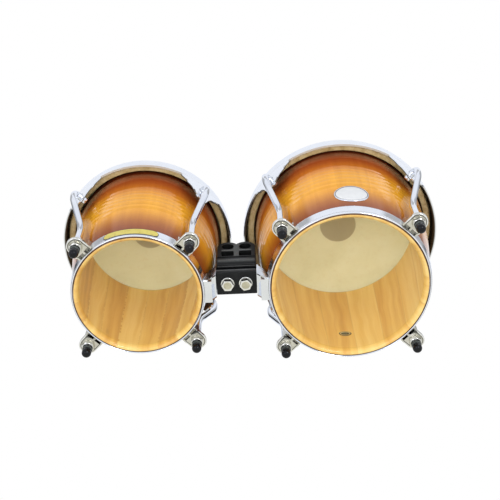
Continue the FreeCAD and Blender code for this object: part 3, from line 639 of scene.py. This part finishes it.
# ================================================================ shells
def build_shell(d):
    seg_per, staves = (14, 18) if d == "small" else (16, 16)
    seg = seg_per * staves
    ri0, ri1 = SHELL_IN0[d], SHELL_IN1[d]
    rt = shell_r(d, 156)
    prof = []
    # outside, bottom to top
    for i in range(0, 221):
        z = 2.0 + 154.0 * i / 220
        prof.append((shell_r(d, z) - 0.12 + ridge(z), z))
    for i in range(1, 9):
        a = math.radians(90.0 * i / 8)
        prof.append((rt - 4.12 + 4.0 * math.cos(a), 156 + 8.0 * math.sin(a)))
    prof += [(ri1 + 2.0, SHELL_H), (ri1 + 0.8, SHELL_H - 1.2), (ri1, 161.0)]
    # inside, top to bottom
    r_low = shell_r(d, 2.0)
    lip_a, lip_b = r_low - 1.0 - ri0, 7.5
    for i in range(1, 60):
        t = i / 59
        z = 161.0 + (lip_b - 161.0) * t
        q = (z - lip_b) / (161.0 - lip_b)
        r = ri0 + (ri1 - ri0) * (q + 0.085 * math.sin(math.pi * q))
        prof.append((r, z))
    for i in range(1, 17):
        a = math.radians(90.0 * i / 16)
        prof.append((ri0 + lip_a - lip_a * math.cos(a), lip_b - lip_b * math.sin(a)))
    prof.append((r_low - 0.55, 0.30))

    def which(p, q, a):
        m = ((p[0] + q[0]) / 2, (p[1] + q[1]) / 2)
        mid_r = (shell_r(d, m[1]) + ri0 + (ri1 - ri0) * max(0.0, (m[1] - 2.2) / 158.8)) / 2
        if m[0] > r_low - 1.05 and m[1] < 1.9:
            return 2
        if m[1] > 160.5 and m[0] < rt - 4.0:
            return 1
        if m[1] < 7.6 and m[0] < r_low - 0.95:
            return 1
        return 0 if m[0] > mid_r else 1

    ob = lathe(d + "_stave_shell", prof, d, [OUT_MAT[d], IN_MAT[d], EDGE], seg=seg, mat_fn=which)
    me = ob.data
    rnd = random.Random(11 if d == "small" else 23)
    order = {"small": [0.62, 0.50, 0.80, 0.35, 0.55, 0.88, 0.30, 0.70, 0.24, 0.58, 0.36, 0.66, 0.72, 0.46, 0.60, 0.78, 0.52, 0.68],
             "large": [0.70, 0.84, 0.56, 0.90, 0.42, 0.62, 0.38, 0.66, 0.48, 0.80, 0.65, 0.88, 0.52, 0.75, 0.60, 0.82]}[d]
    tones = order[:staves]
    offs = [(rnd.uniform(0, 5), rnd.uniform(0, 5)) for _ in range(staves)]
    nl = len(me.loops)
    ax = AX[d] * MM
    uvv, tv, ev = [0.0] * (2 * nl), [0.0] * nl, [0.0] * nl
    shift = 0.5 * math.pi / staves
    co_all = [v.co.copy() for v in me.vertices]
    for p in me.polygons:
        cx, cy = p.center.x - ax, p.center.y
        a = (math.atan2(cy, cx) + shift) % (2 * math.pi)
        s = int(a / (2 * math.pi) * staves) % staves
        a0 = (s + 0.5) * 2 * math.pi / staves - shift
        for li, vi in zip(p.loop_indices, p.vertices):
            co = co_all[vi]
            aa = math.atan2(co.y, co.x - ax)
            da = (aa - a0 + math.pi) % (2 * math.pi) - math.pi
            uvv[2 * li] = da * SHELL_R0[d] * MM + offs[s][0]
            uvv[2 * li + 1] = co.z + offs[s][1]
            tv[li] = tones[s]
            ev[li] = min(1.0, abs(da) / (math.pi / staves))
    me.uv_layers.new(name="stave_uv")
    me.attributes.new("stave_tone", "FLOAT", "CORNER")
    me.attributes.new("stave_edge", "FLOAT", "CORNER")
    me.uv_layers["stave_uv"].data.foreach_set("uv", uvv)
    me.attributes["stave_tone"].data.foreach_set("value", tv)
    me.attributes["stave_edge"].data.foreach_set("value", ev)
    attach(ob, "frame")
    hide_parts(d + "_shell")
    return ob


IN_TONES = [(0.0, (0.62, 0.33, 0.072)), (0.30, (0.74, 0.43, 0.100)), (0.65, (0.84, 0.555, 0.150)), (1.0, (0.91, 0.66, 0.225))]
OUT_MAT = {d: mat_shell_out("burst_lacquer_" + d, d) for d in ("small", "large")}
IN_MAT = {d: mat_shell_in("stave_inside_" + d, IN_TONES) for d in ("small", "large")}
SKIN_EDGE = {d: mat_skin_edge("rawhide_edge_" + d, d) for d in ("small", "large")}
SKIN_MAT = {d: mat_skin("rawhide_" + d, d) for d in ("small", "large")}


# ================================================================ skins
def build_skin(d):
    """One skin: playing area, turn over the bearing edge, down to the hoop and round it."""
    k = KX[d]
    rt = shell_r(d, 156)
    z = SHELL_H + 0.10
    t = 1.35
    # underside path from the middle outwards, then round the hoop and back along the top
    under = [(0.4, z), (rt * 0.5, z), (rt - 6.0, z), (rt - 3.6, z), (rt - 1.9, z - 0.45), (rt - 0.6, z - 1.6), (rt + 0.55, z - 4.0),
             (87.9 + k, 156.0), (88.3 + k, 150.2), (88.6 + k, 149.0), (89.6 + k, 148.3), (94.6 + k, 148.3), (95.6 + k, 149.0), (95.85 + k, 150.2), (95.8 + k, 153.2), (95.0 + k, 154.7), (93.4 + k, 155.7), (90.6 + k, 155.75), (90.2 + k, 155.2)]
    upper = [(90.3 + k, 154.5), (93.0 + k, 154.5), (94.4 + k, 152.9), (94.5 + k, 149.9), (94.2 + k, 149.65), (90.0 + k, 149.65), (89.7 + k, 150.2), (89.35 + k, 156.0), (rt + 1.9, z - 3.6), (rt + 0.5, z - 0.8), (rt - 1.4, z + 0.75), (rt - 3.6, z + t), (rt * 0.5, z + t), (0.4, z + t)]
    prof = fine(under, closed=False, step=2.2)[:-1] + fine(upper, closed=False, step=2.2)
    n = len(prof)
    seg = 192
    rnd = random.Random(5 if d == "small" else 9)
    lumps = [(rnd.uniform(0, 6.28), rnd.uniform(0.10, 0.32), m) for m in (5, 9, 14, 23, 37)]

    def wave(a):
        return sum(h * math.sin(m * a + ph) for ph, h, m in lumps)

    verts, faces = [], []
    for s in range(seg):
        a = 2 * math.pi * s / seg
        c, sn = math.cos(a), math.sin(a)
        for r, zz in prof:
            f = max(0.0, min(1.0, (r - (87.2 + k)) / 2.0)) * max(0.0, min(1.0, (158.0 - zz) / 6.0))
            w = wave(a) * f
            rr = r - 0.10 * abs(w)
            verts.append((AX[d] + rr * c, rr * sn, Z0 + zz + 0.18 * w * (1 if zz < 150 else 0.3)))
    for s in range(seg):
        s2 = (s + 1) % seg
        for i in range(n - 1):
            faces.append((s * n + i, s * n + i + 1, s2 * n + i + 1, s2 * n + i))
    # close the middle, under and over
    cu = len(verts)
    verts.append((AX[d], 0, Z0 + z))
    co = len(verts)
    verts.append((AX[d], 0, Z0 + z + t))
    for s in range(seg):
        s2 = (s + 1) % seg
        faces.append((s * n, s2 * n, cu))
        faces.append((s2 * n + n - 1, s * n + n - 1, co))
    fm = [1 if sum(verts[v][2] for v in f) / len(f) < Z0 + z - 2.2 else 0 for f in faces]
    ob = make_object(d + "_rawhide_skin", verts, faces, [SKIN_MAT[d], SKIN_EDGE[d]], fm, sharp=75.0)
    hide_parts(d + "_skin", d + "_skin_edge")
    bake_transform(ob)
    return ob


# ================================================================ rods with cut threads
def build_rod(d, pos):
    r0, r1 = ROD_LOW[d], ROD_TOP[d]
    hook_end = RIM_R[d] - 8.6
    pts = [(r0, -13.8), (r0, 50.0), (r1, 103.0), (r1, 119.0), (hook_end, 119.0)]
    rad = [0, 60.0, 40.0, 6.2, 0]
    path = []            # (r, z, dr, dz)

    def unit(a, b):
        L = math.hypot(b[0] - a[0], b[1] - a[1])
        return ((b[0] - a[0]) / L, (b[1] - a[1]) / L), L

    cur = pts[0]
    for i in range(1, len(pts)):
        u1, _ = unit(pts[i - 1], pts[i])
        if i < len(pts) - 1:
            u2, _ = unit(pts[i], pts[i + 1])
            turn_ang = math.acos(max(-1, min(1, u1[0] * u2[0] + u1[1] * u2[1])))
            tl = rad[i] * math.tan(turn_ang / 2)
            p1 = (pts[i][0] - u1[0] * tl, pts[i][1] - u1[1] * tl)
            p2 = (pts[i][0] + u2[0] * tl, pts[i][1] + u2[1] * tl)
        else:
            p1 = pts[i]
        L = math.hypot(p1[0] - cur[0], p1[1] - cur[1])
        threaded = i == 1
        step = 0.21 if threaded else 2.0
        k = max(2, int(L / step))
        for j in range(k):
            t = j / k
            path.append((cur[0] + (p1[0] - cur[0]) * t, cur[1] + (p1[1] - cur[1]) * t, u1[0], u1[1]))
            if threaded and path[-1][1] > 24.0:
                break
        if i < len(pts) - 1:
            sgn = 1.0 if u1[0] * u2[1] - u1[1] * u2[0] > 0 else -1.0
            cx, cy = p1[0] - sgn * u1[1] * rad[i], p1[1] + sgn * u1[0] * rad[i]
            m = max(14, int(math.degrees(turn_ang) / 4))
            for j in range(m):
                a = turn_ang * j / m
                ca, sa = math.cos(sgn * a), math.sin(sgn * a)
                vx, vy = p1[0] - cx, p1[1] - cy
                path.append((cx + vx * ca - vy * sa, cy + vx * sa + vy * ca, u1[0] * ca - u1[1] * sa, u1[0] * sa + u1[1] * ca))
            cur = p2
        else:
            path.append((p1[0], p1[1], u1[0], u1[1]))
    seg = 40
    ang = math.radians(POS[pos])
    ca, sa = math.cos(ang), math.sin(ang)
    verts, faces = [], []

    def radius(z, phi, first):
        R = 4.0
        if z < 21.0:
            q = (z / 1.25 - phi / (2 * math.pi)) % 1.0
            tri = abs(2 * q - 1.0)
            depth = 0.62 * min(1.0, max(0.0, (21.0 - z) / 1.6))
            R -= depth * min(1.0, max(0.0, 1.25 * tri - 0.12))
        return R

    ends = []
    # chamfered foot, body, domed hook end
    rings = [(path[0][0], path[0][1] - 0.9, 0, 1, -1.0)] + [(p[0], p[1], p[2], p[3], 0.0) for p in path]
    e = path[-1]
    rings += [(e[0] + e[2] * 0.5, e[1] + e[3] * 0.5, e[2], e[3], -0.35), (e[0] + e[2] * 0.8, e[1] + e[3] * 0.8, e[2], e[3], -1.2)]
    for (pr, pz, tr, tz, dR) in rings:
        for s in range(seg):
            phi = 2 * math.pi * s / seg
            R = radius(pz, phi, False) + dR if dR == 0 else 4.0 + dR
            # local frame: tangential axis (into the page) and in-plane normal
            nr, nz = tz, -tr
            lr = R * math.cos(phi) * nr
            lz = R * math.cos(phi) * nz
            lt = R * math.sin(phi)
            rr = pr + lr
            verts.append((AX[d] + rr * ca - lt * sa, rr * sa + lt * ca, Z0 + pz + lz))
    m = len(rings)
    for i in range(m - 1):
        for s in range(seg):
            s2 = (s + 1) % seg
            faces.append((i * seg + s, i * seg + s2, (i + 1) * seg + s2, (i + 1) * seg + s))
    faces.append(tuple(reversed(range(seg))))
    faces.append(tuple((m - 1) * seg + s for s in range(seg)))
    ob = make_object("%s_hook_rod_%s" % (d, pos), verts, faces, [CHROME], sharp=50.0)
    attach(ob, d + "_rim_assembly")
    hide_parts("%s_rod_%s" % (d, pos))
    return ob


# ================================================================ blank badges
def wrap(d, ang, base, x, z, h):
    """Point on a drum's wall: x across, z up, h out from the wall (mm)."""
    r = base(z)
    a = math.radians(ang) + math.asin(max(-1.0, min(1.0, x / r)))
    return (AX[d] + (r + h) * math.cos(a), (r + h) * math.sin(a), Z0 + z)


def badge(name, node, d, ang, base, outline, levels, mats, inward=False):
    """Thin plate that follows a wall: nested outlines (inset, height, material), closed at the back."""
    sgn = -1.0 if inward else 1.0
    verts, faces, fm = [], [], []
    rings = [(0.0, 0.0, 0)] + levels
    pts = None
    for inset, h, _m in rings:
        pts = outline(inset)
        verts += [wrap(d, ang, base, x, z, sgn * h) for x, z in pts]
    n = len(pts)
    for i in range(len(rings) - 1):
        for j in range(n):
            j2 = (j + 1) % n
            faces.append((i * n + j, i * n + j2, (i + 1) * n + j2, (i + 1) * n + j))
            fm.append(rings[i + 1][2])
    top = (len(rings) - 1) * n
    half = n // 2
    for j in range(half - 1):
        faces.append((top + j, top + j + 1, top + n - 2 - j, top + n - 1 - j))
        fm.append(levels[-1][2])
        faces.append((n - 1 - j, n - 2 - j, j + 1, j))
        fm.append(0)
    if inward:
        faces = [tuple(reversed(f)) for f in faces]
    ob = make_object(name, verts, faces, mats, fm, sharp=48.0)
    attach(ob, "frame")
    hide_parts(node)
    return ob


def oval(w, h, z, n=96):
    def f(inset):
        a, b = w / 2 - inset, h / 2 - inset
        out = []
        for j in range(n):
            t = -math.pi + (j + 0.5) * 2 * math.pi / n
            out.append((a * math.cos(t), z - b * math.sin(t)))
        return out
    return f


def stadium(w, z0, z1, n=24, arc=12):
    def f(inset):
        r = (z1 - z0) / 2 - inset
        c = (z0 + z1) / 2
        s_ = w / 2 - (z1 - z0) / 2
        up = []
        for j in range(arc):
            t = math.pi - (j + 0.5) * (math.pi / 2) / arc
            up.append((-s_ + r * math.cos(t), c + r * math.sin(t)))
        for j in range(n + 1):
            up.append((-s_ + 2 * s_ * j / n, c + r))
        for j in range(arc):
            t = math.pi / 2 - (j + 0.5) * (math.pi / 2) / arc
            up.append((s_ + r * math.cos(t), c + r * math.sin(t)))
        return up + [(x, 2 * c - zz) for x, zz in reversed(up)]
    return f


def inner_wall(z):
    q = (z - 7.5) / 153.5
    return SHELL_IN0["large"] + (SHELL_IN1["large"] - SHELL_IN0["large"]) * (q + 0.085 * math.sin(math.pi * q))


def build_badges():
    line = mat_enamel("badge_line", lin(34, 36, 40), lin(52, 54, 58), (0.25, 0.4))
    badge("oval_badge", "large_shell_plate", "large", -86.9, lambda z: shell_r("large", z) + 0.02, oval(38.0, 31.5, 40.5),
          [(0.05, 0.55, 0), (0.35, 0.95, 0), (0.8, 1.10, 0), (1.3, 1.02, 0), (1.5, 0.86, 1), (2.0, 0.84, 1), (2.2, 0.90, 2), (5.0, 1.00, 2), (9.0, 1.06, 2), (14.5, 1.08, 2)],
          [CHROME, line, PLATE])
    badge("ring_label", "small_ring_label", "small", -91.3, lambda z: shell_r("small", z) + 2.26, stadium(59.5, 2.4, 12.4),
          [(0.05, 0.25, 0), (0.25, 0.40, 0), (0.75, 0.44, 0), (0.85, 0.40, 1), (2.5, 0.41, 1), (4.6, 0.42, 1)],
          [line, LABEL])
    badge("inside_badge", "large_shell_sticker", "large", 91.5, lambda z: inner_wall(z) - 0.06, oval(14.5, 11.5, 43.5, 64),
          [(0.03, 0.16, 0), (0.15, 0.26, 0), (1.2, 0.27, 0), (1.3, 0.26, 1), (2.3, 0.26, 1), (2.4, 0.27, 0), (3.6, 0.28, 0), (5.4, 0.29, 0)],
          [STICKER, LABEL_LINE], inward=True)


# ================================================================ nuts, caps, bolts
def turned(verts, faces, cx, cy, rings, seg, turn_by=0.0, caps=(False, False)):
    """Rings of (r, z, hexagonal share) round an upright axis, appended to verts and faces."""
    base = len(verts)
    for r, z, hx in rings:
        for s_ in range(seg):
            a = 2 * math.pi * s_ / seg
            rr = r
            if hx is not None:
                q = (a + math.pi / 6) % (math.pi / 3) - math.pi / 6
                rr = min(r, hx / math.cos(q))
            verts.append((cx + rr * math.cos(a + turn_by), cy + rr * math.sin(a + turn_by), z))
    n = len(rings)
    for i in range(n - 1):
        for s_ in range(seg):
            t = (s_ + 1) % seg
            faces.append((base + i * seg + s_, base + i * seg + t, base + (i + 1) * seg + t, base + (i + 1) * seg + s_))
    if caps[0]:
        faces.append(tuple(base + s_ for s_ in reversed(range(seg))))
    if caps[1]:
        faces.append(tuple(base + (n - 1) * seg + s_ for s_ in range(seg)))
    if not caps[0] and not caps[1]:
        for s_ in range(seg):
            t = (s_ + 1) % seg
            faces.append((base + (n - 1) * seg + s_, base + (n - 1) * seg + t, base + t, base + s_))


NUT_TURN = {"front_left": -62.0, "front_right": -56.0, "rear_left": -68.0, "rear_right": -60.0}


def build_nut(d, pos):
    """Hexagon nut, chamfered at both ends, with a lead-in to the thread."""
    a = math.radians(POS[pos])
    cx, cy = AX[d] + ROD_LOW[d] * math.cos(a), ROD_LOW[d] * math.sin(a)
    z0, z1, h = Z0 - 3.7, Z0 + 2.3, 6.5
    rings = [(4.05, z0 + 0.7, None), (4.8, z0, None), (5.95, z0, None)]
    rings += [(6.05 + 0.30 * i, z0 + 0.06 + 0.17 * i, h) for i in range(0, 6)]
    rings += [(7.9, z0 + 1.15, h), (7.9, (z0 + z1) / 2, h), (7.9, z1 - 1.15, h)]
    rings += [(6.05 + 0.30 * i, z1 - 0.06 - 0.17 * i, h) for i in range(5, -1, -1)]
    rings += [(5.95, z1, None), (4.8, z1, None), (4.05, z1 - 0.7, None), (4.05, (z0 + z1) / 2, None)]
    verts, faces = [], []
    turned(verts, faces, cx, cy, rings, 96, turn_by=math.radians(NUT_TURN[pos]))
    ob = make_object("%s_hex_nut_%s" % (d, pos), verts, faces, [NICKEL], sharp=22.0)
    node = "%s_nut_%s" % (d, pos)
    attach(ob, node)
    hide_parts(node)


def build_caps(d):
    """Four rubber caps: sleeve with a rolled lip, groove and dome."""
    verts, faces = [], []
    for pos, deg in POS.items():
        a = math.radians(deg)
        cx, cy = AX[d] + ROD_LOW[d] * math.cos(a), ROD_LOW[d] * math.sin(a)
        rings = [(1.3, 0.0, None)]
        for i in range(1, 15):
            t = math.radians(90.0 * i / 14)
            rings.append((1.3 + 3.95 * math.sin(t), 4.6 - 4.6 * math.cos(t), None))
        rings += [(5.25, 6.4, None), (5.2, 7.6, None), (4.95, 7.85, None), (4.95, 8.25, None), (5.3, 8.5, None), (5.35, 11.2, None),
                  (5.5, 11.4, None), (5.6, 11.7, None), (5.6, 12.5, None), (5.45, 12.85, None), (5.1, 13.05, None), (4.3, 13.05, None), (4.04, 12.8, None), (4.04, 3.98, None)]
        turned(verts, faces, cx, cy, rings, 48, caps=(True, True))
    ob = make_object(d + "_cap_set", verts, faces, [RUBBER], sharp=50.0)
    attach(ob, d + "_rim_assembly")
    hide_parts(d + "_rod_caps")


def build_bolts():
    """Two hexagon bolts with dished heads, and their washers."""
    lo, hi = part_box("block_bolts")
    xm = mid("block_washers").x / MM
    bottom, top_z = lo.z / MM, hi.z / MM
    verts, faces, fm = [], [], []
    for s_, turn_deg in ((-1, 31.0), (1, 19.0)):
        z = bottom
        parts = [((3.9, z + 0.42, None), 1), ((4.2, z + 0.38, None), 1), ((4.45, z + 0.05, None), 1), ((4.55, z, None), 2), ((6.35, z, 5.72), 2),
                 ((6.62, z + 0.16, 5.94), 2), ((6.75, z + 0.42, 6.0), 0), ((6.85, z + 4.9, 6.0), 0), ((6.6, z + 5.2, 6.0), 0),
                 ((4.0, z + 5.2, None), 0), ((4.0, top_z - 0.8, None), 0), ((3.3, top_z, None), 0)]
        start = len(faces)
        turned(verts, faces, xm + s_ * 10.0, 0.0, [q[0] for q in parts], 96, turn_by=math.radians(turn_deg), caps=(True, True))
        band = []
        for i in range(len(parts) - 1):
            band += [parts[i + 1][1]] * 96
        fm += band + [1, 0]
        assert len(faces) - start == len(band) + 2
    ob = make_object("clamp_bolt_pair", verts, faces, [BOLT_SIDE, BOLT_DISH, BOLT_FACE], fm, sharp=18.0)
    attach(ob, "frame")
    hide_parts("block_bolts")
    lo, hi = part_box("block_washers")
    a_, b_ = lo.z / MM, hi.z / MM
    verts, faces = [], []
    for s_ in (-1, 1):
        rings = [(4.2, a_ + 0.1, None), (4.35, a_, None), (6.95, a_, None), (7.3, a_ + 0.08, None), (7.52, a_ + 0.30, None), (7.6, a_ + 0.65, None),
                 (7.6, b_ - 0.3, None), (7.45, b_, None), (4.2, b_, None)]
        turned(verts, faces, xm + s_ * 10.0, 0.0, rings, 72)
    ob = make_object("clamp_washer_pair", verts, faces, [BOLT_FACE], sharp=40.0)
    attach(ob, "frame")
    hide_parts("block_washers")


# ================================================================ bottom rings
def build_ring(d):
    """Steel band with a rolled lower lip and a rounded upper edge."""
    def ri(z):
        return shell_r(d, z) + 0.14

    def ro(z):
        return shell_r(d, z) + 2.10

    h = 13.6
    prof = [(ri(1.2), 1.2)]
    a, b, c = (ri(1.2), 1.2), ((ri(1.2) + ro(1.0)) / 2 + 0.22, -0.22), (ro(1.0) + 0.27, 1.0)
    for i in range(1, 12):
        t = i / 12.0
        w0, w1, w2 = (1 - t) * (1 - 2 * t), 4 * t * (1 - t), t * (2 * t - 1)
        prof.append((a[0] * w0 + b[0] * w1 + c[0] * w2, a[1] * w0 + b[1] * w1 + c[1] * w2))
    prof += [(ro(1.0) + 0.27, 1.0), (ro(1.6) + 0.30, 1.6), (ro(2.1) + 0.24, 2.1), (ro(2.5) + 0.08, 2.5), (ro(2.8), 2.8)]
    prof += [(ro(z), z) for z in (3.6, 5.0, 6.5, 8.0, 9.5, 11.0, 12.2, 12.7)]
    q = (ro(12.7) - 0.9, 12.7)
    for i in range(1, 8):
        t = math.radians(90.0 * i / 7)
        prof.append((q[0] + 0.9 * math.cos(t), q[1] + 0.9 * math.sin(t)))
    prof += [(ri(h) + 0.1, h), (ri(h), h - 0.1)] + [(ri(z), z) for z in (11.0, 8.0, 5.0, 2.5)]
    ob = lathe(d + "_ring_band", prof, d, [CHROME_RIM], seg=288, sharp=50.0, uv=False)
    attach(ob, "frame")
    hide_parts(d + "_bottom_ring")


# ================================================================ build
for d in ("small", "large"):
    build_shell(d)
    build_skin(d)
    for p in POS:
        build_rod(d, p)
        build_nut(d, p)
    build_caps(d)
    build_ring(d)
build_bolts()


build_badges()


def paint(node, mat):
    o = NODES[node]
    if not o.material_slots:
        o.data.materials.append(mat)
    for s in o.material_slots:
        s.material = mat


for d in ("small", "large"):
    paint(d + "_ring_ears", EAR[d])
    paint(d + "_rod_collars", CHROME)
    paint(d + "_bracket", CHROME_BRK)
    paint(d + "_rim", RIM_MAT[d])
    paint(d + "_rim_side_plates", PLATE_MAT[d])
    paint(d + "_flesh_hoop", STEEL)
paint("block_body", BLOCK)
paint("block_base", BLOCK)
paint("block_pads", PAD)
paint("block_nuts", NICKEL)

# ================================================================ stage, world, lights
bpy.ops.mesh.primitive_circle_add(vertices=128, radius=6.0, fill_type="NGON", location=(0, 0, -0.0004))
floor = bpy.context.object
floor.name = "floor"
fm = bpy.data.materials.new("floor_paper")
fm.use_nodes = True
ft = fm.node_tree
fb = ft.nodes["Principled BSDF"]
fn = ft.nodes.new("ShaderNodeTexNoise")
fn.inputs["Scale"].default_value = 3.0
fr = ft.nodes.new("ShaderNodeValToRGB")
fr.color_ramp.elements[0].color = (0.80, 0.80, 0.80, 1)
fr.color_ramp.elements[1].color = (0.86, 0.86, 0.86, 1)
ft.links.new(fn.outputs["Fac"], fr.inputs[0])
ft.links.new(fr.outputs[0], fb.inputs["Base Color"])
fb.inputs["Roughness"].default_value = 0.85
geo = ft.nodes.new("ShaderNodeNewGeometry")
tr = ft.nodes.new("ShaderNodeBsdfTransparent")
mx = ft.nodes.new("ShaderNodeMixShader")
ft.links.new(geo.outputs["Backfacing"], mx.inputs[0])
ft.links.new(fb.outputs[0], mx.inputs[1])
ft.links.new(tr.outputs[0], mx.inputs[2])
ft.links.new(mx.outputs[0], ft.nodes["Material Output"].inputs[0])
floor.data.materials.append(fm)
floor.visible_diffuse = False
floor.visible_glossy = False
floor.visible_transmission = False
floor.visible_shadow = False

world = bpy.data.worlds.new("studio")
bpy.context.scene.world = world
world.use_nodes = True
wt = world.node_tree
wt.nodes.clear()
wo = wt.nodes.new("ShaderNodeOutputWorld")
lp = wt.nodes.new("ShaderNodeLightPath")
tc = wt.nodes.new("ShaderNodeTexCoord")
sx = wt.nodes.new("ShaderNodeSeparateXYZ")
wt.links.new(tc.outputs["Generated"], sx.inputs[0])


def wmath(op, a, b=None):
    m = wt.nodes.new("ShaderNodeMath")
    m.operation = op
    for i, v in enumerate((a, b)):
        if v is None:
            continue
        if isinstance(v, (int, float)):
            m.inputs[i].default_value = v
        else:
            wt.links.new(v, m.inputs[i])
    return m.outputs[0]


def wsmooth(v, a, b):
    m = wt.nodes.new("ShaderNodeMapRange")
    m.interpolation_type = "SMOOTHSTEP"
    m.inputs[1].default_value = a
    m.inputs[2].default_value = b
    m.inputs[3].default_value = 0.0
    m.inputs[4].default_value = 1.0
    wt.links.new(v, m.inputs[0])
    return m.outputs[0]


def wdot(v):
    m = wt.nodes.new("ShaderNodeVectorMath")
    m.operation = "DOT_PRODUCT"
    wt.links.new(tc.outputs["Generated"], m.inputs[0])
    m.inputs[1].default_value = v
    return m.outputs["Value"]


def spot(v, r0, r1):
    """1 inside an angle r0 round the direction v, 0 outside r1 (degrees)."""
    d = Vector(v).normalized()
    return wsmooth(wdot(d), math.cos(math.radians(r1)), math.cos(math.radians(r0)))


# the studio as the chrome and the lacquer see it: a white backdrop behind, a wide softbox overhead, a dimmer
# band between the two, two small softboxes and two black flags at the sides, a darker room in front
F = (-0.0122043, 0.4310678, 0.9022370)
U3 = (0.0428314, -0.9012507, 0.4311758)
R3 = (0.9990078, 0.0439062, -0.0074641)
fcomp, ucomp, rcomp = wdot(F), wdot(U3), wdot(R3)
rabs = wmath("ABSOLUTE", rcomp)
level = wmath("SUBTRACT", fcomp, wmath("MULTIPLY", rabs, 0.24))
half = wmath("MULTIPLY", wmath("MULTIPLY", wsmooth(level, 0.385, 0.45), wsmooth(fcomp, 0.625, 0.58)), wsmooth(ucomp, 0.20, 0.35))
side = wmath("MULTIPLY", wsmooth(rabs, 0.44, 0.50), wsmooth(fcomp, 0.20, 0.45))
flags = wmath("MULTIPLY", wmath("MULTIPLY", wsmooth(rabs, 0.47, 0.53), wsmooth(rabs, 0.76, 0.70)), wmath("MULTIPLY", wsmooth(ucomp, 0.22, 0.12), wsmooth(fcomp, 0.30, 0.45)))
once = wmath("LESS_THAN", lp.outputs["Ray Depth"], 1.5)
front = wmath("MULTIPLY", once, wmath("MULTIPLY", wsmooth(fcomp, -0.30, -0.60), wsmooth(ucomp, -0.62, -0.42)))
table = wsmooth(ucomp, -0.45, -0.65)


def wblend(fac, a, b):
    m = wt.nodes.new("ShaderNodeMix")
    m.data_type = "RGBA"
    wt.links.new(fac, m.inputs[0])
    for sock, v in ((m.inputs[6], a), (m.inputs[7], b)):
        if isinstance(v, tuple):
            sock.default_value = v + (1.0,)
        else:
            wt.links.new(v, sock)
    return m.outputs[2]


env = wblend(side, (0.90, 0.93, 1.0), (0.45, 0.46, 0.48))
env = wblend(half, env, (0.52, 0.53, 0.56))
env = wblend(flags, env, (0.015, 0.015, 0.018))
env = wblend(table, env, (0.86, 0.86, 0.82))
env = wblend(front, env, (0.15, 0.15, 0.16))


def facing(az, el):
    """Direction seen from the object: az to the right and el above the camera, degrees."""
    a, e = math.radians(az), math.radians(el)
    f, u, r = Vector(F), Vector(U3), Vector(R3)
    return -f * math.cos(a) * math.cos(e) + r * math.sin(a) * math.cos(e) + u * math.sin(e)


env = wblend(spot(facing(-30, 6), 7.0, 11.0), env, (3.6, 3.7, 4.4))
env = wblend(spot(facing(24, 22), 8.0, 11.0), env, (10.0, 10.2, 11.0))
env = wblend(spot((0.458, -0.30, 0.83), 2.5, 5.0), env, (1.35, 1.35, 1.35))
env = wblend(spot((-0.458, -0.30, 0.83), 2.5, 5.0), env, (1.35, 1.35, 1.35))
bg_g = wt.nodes.new("ShaderNodeBackground")
wt.links.new(env, bg_g.inputs[0])
bg_g.inputs[1].default_value = 1.0
bg_d = wt.nodes.new("ShaderNodeBackground")
bg_d.inputs[0].default_value = (0.98, 0.985, 1.0, 1)
bg_d.inputs[1].default_value = 0.74
bg_c = wt.nodes.new("ShaderNodeBackground")
bg_c.inputs[0].default_value = (1, 1, 1, 1)
bg_c.inputs[1].default_value = 1.0
m1 = wt.nodes.new("ShaderNodeMixShader")
wt.links.new(lp.outputs["Is Glossy Ray"], m1.inputs[0])
wt.links.new(bg_d.outputs[0], m1.inputs[1])
wt.links.new(bg_g.outputs[0], m1.inputs[2])
m2 = wt.nodes.new("ShaderNodeMixShader")
wt.links.new(lp.outputs["Is Camera Ray"], m2.inputs[0])
wt.links.new(m1.outputs[0], m2.inputs[1])
wt.links.new(bg_c.outputs[0], m2.inputs[2])
wt.links.new(m2.outputs[0], wo.inputs[0])

TARGET = Vector((0.0, 0.0, 0.105))


def area(name, direction, dist, sx_, sy_, watts, colour=(1, 1, 1)):
    li = bpy.data.lights.new(name, "AREA")
    li.shape = "RECTANGLE"
    li.size, li.size_y = sx_, sy_
    li.energy = watts
    li.color = colour
    ob = bpy.data.objects.new(name, li)
    bpy.context.scene.collection.objects.link(ob)
    v = Vector(direction).normalized()
    ob.location = TARGET + v * dist
    ob.rotation_mode = "QUATERNION"
    ob.rotation_quaternion = (-v).to_track_quat("-Z", "Y")
    return ob


def direct(az, el):
    a, e = math.radians(az), math.radians(el)
    return (math.sin(a) * math.cos(e), -math.cos(a) * math.cos(e), math.sin(e))


for name, direction, dist, w, h, watts in (
        ("front_key", (-0.02, -0.44, -0.90), 1.65, 0.95, 0.95, 12.3),
        ("left_key", (-0.52, -0.42, -0.75), 1.65, 0.95, 0.95, 9.3),
        ("right_key", (0.52, -0.42, -0.75), 1.65, 0.95, 0.95, 8.6),
        ("head_glow", (0.0, 0.15, 0.99), 1.6, 1.2, 1.0, 30.0)):
    area(name, direction, dist, w, h, watts).visible_glossy = False

# ================================================================ camera
cam_data = bpy.data.cameras.new("camera")
cam = bpy.data.objects.new("camera", cam_data)
bpy.context.scene.collection.objects.link(cam)
R = Vector((0.9990077724723793, 0.04390624175361873, -0.007464078968482111))
U = Vector((0.04283136038297847, -0.9012506965389369, 0.4311758997854874))
B = Vector((0.012204306924949558, -0.43106777184469963, -0.9022370148521549))
rot = Matrix((R, U, B)).transposed()
cam.rotation_mode = "QUATERNION"
cam.rotation_quaternion = rot.to_quaternion()
cam.location = (0.0149095, -0.5267069, -0.9798677)
cam_data.sensor_width = 36.0
cam_data.lens = 1035.5456 / 500.0 * 36.0
cam_data.clip_start = 0.05
cam_data.clip_end = 50.0
bpy.context.scene.camera = cam

vs = bpy.context.scene.view_settings
vs.view_transform = "Standard"
vs.look = "None"
vs.exposure = 0.0
vs.gamma = 1.0
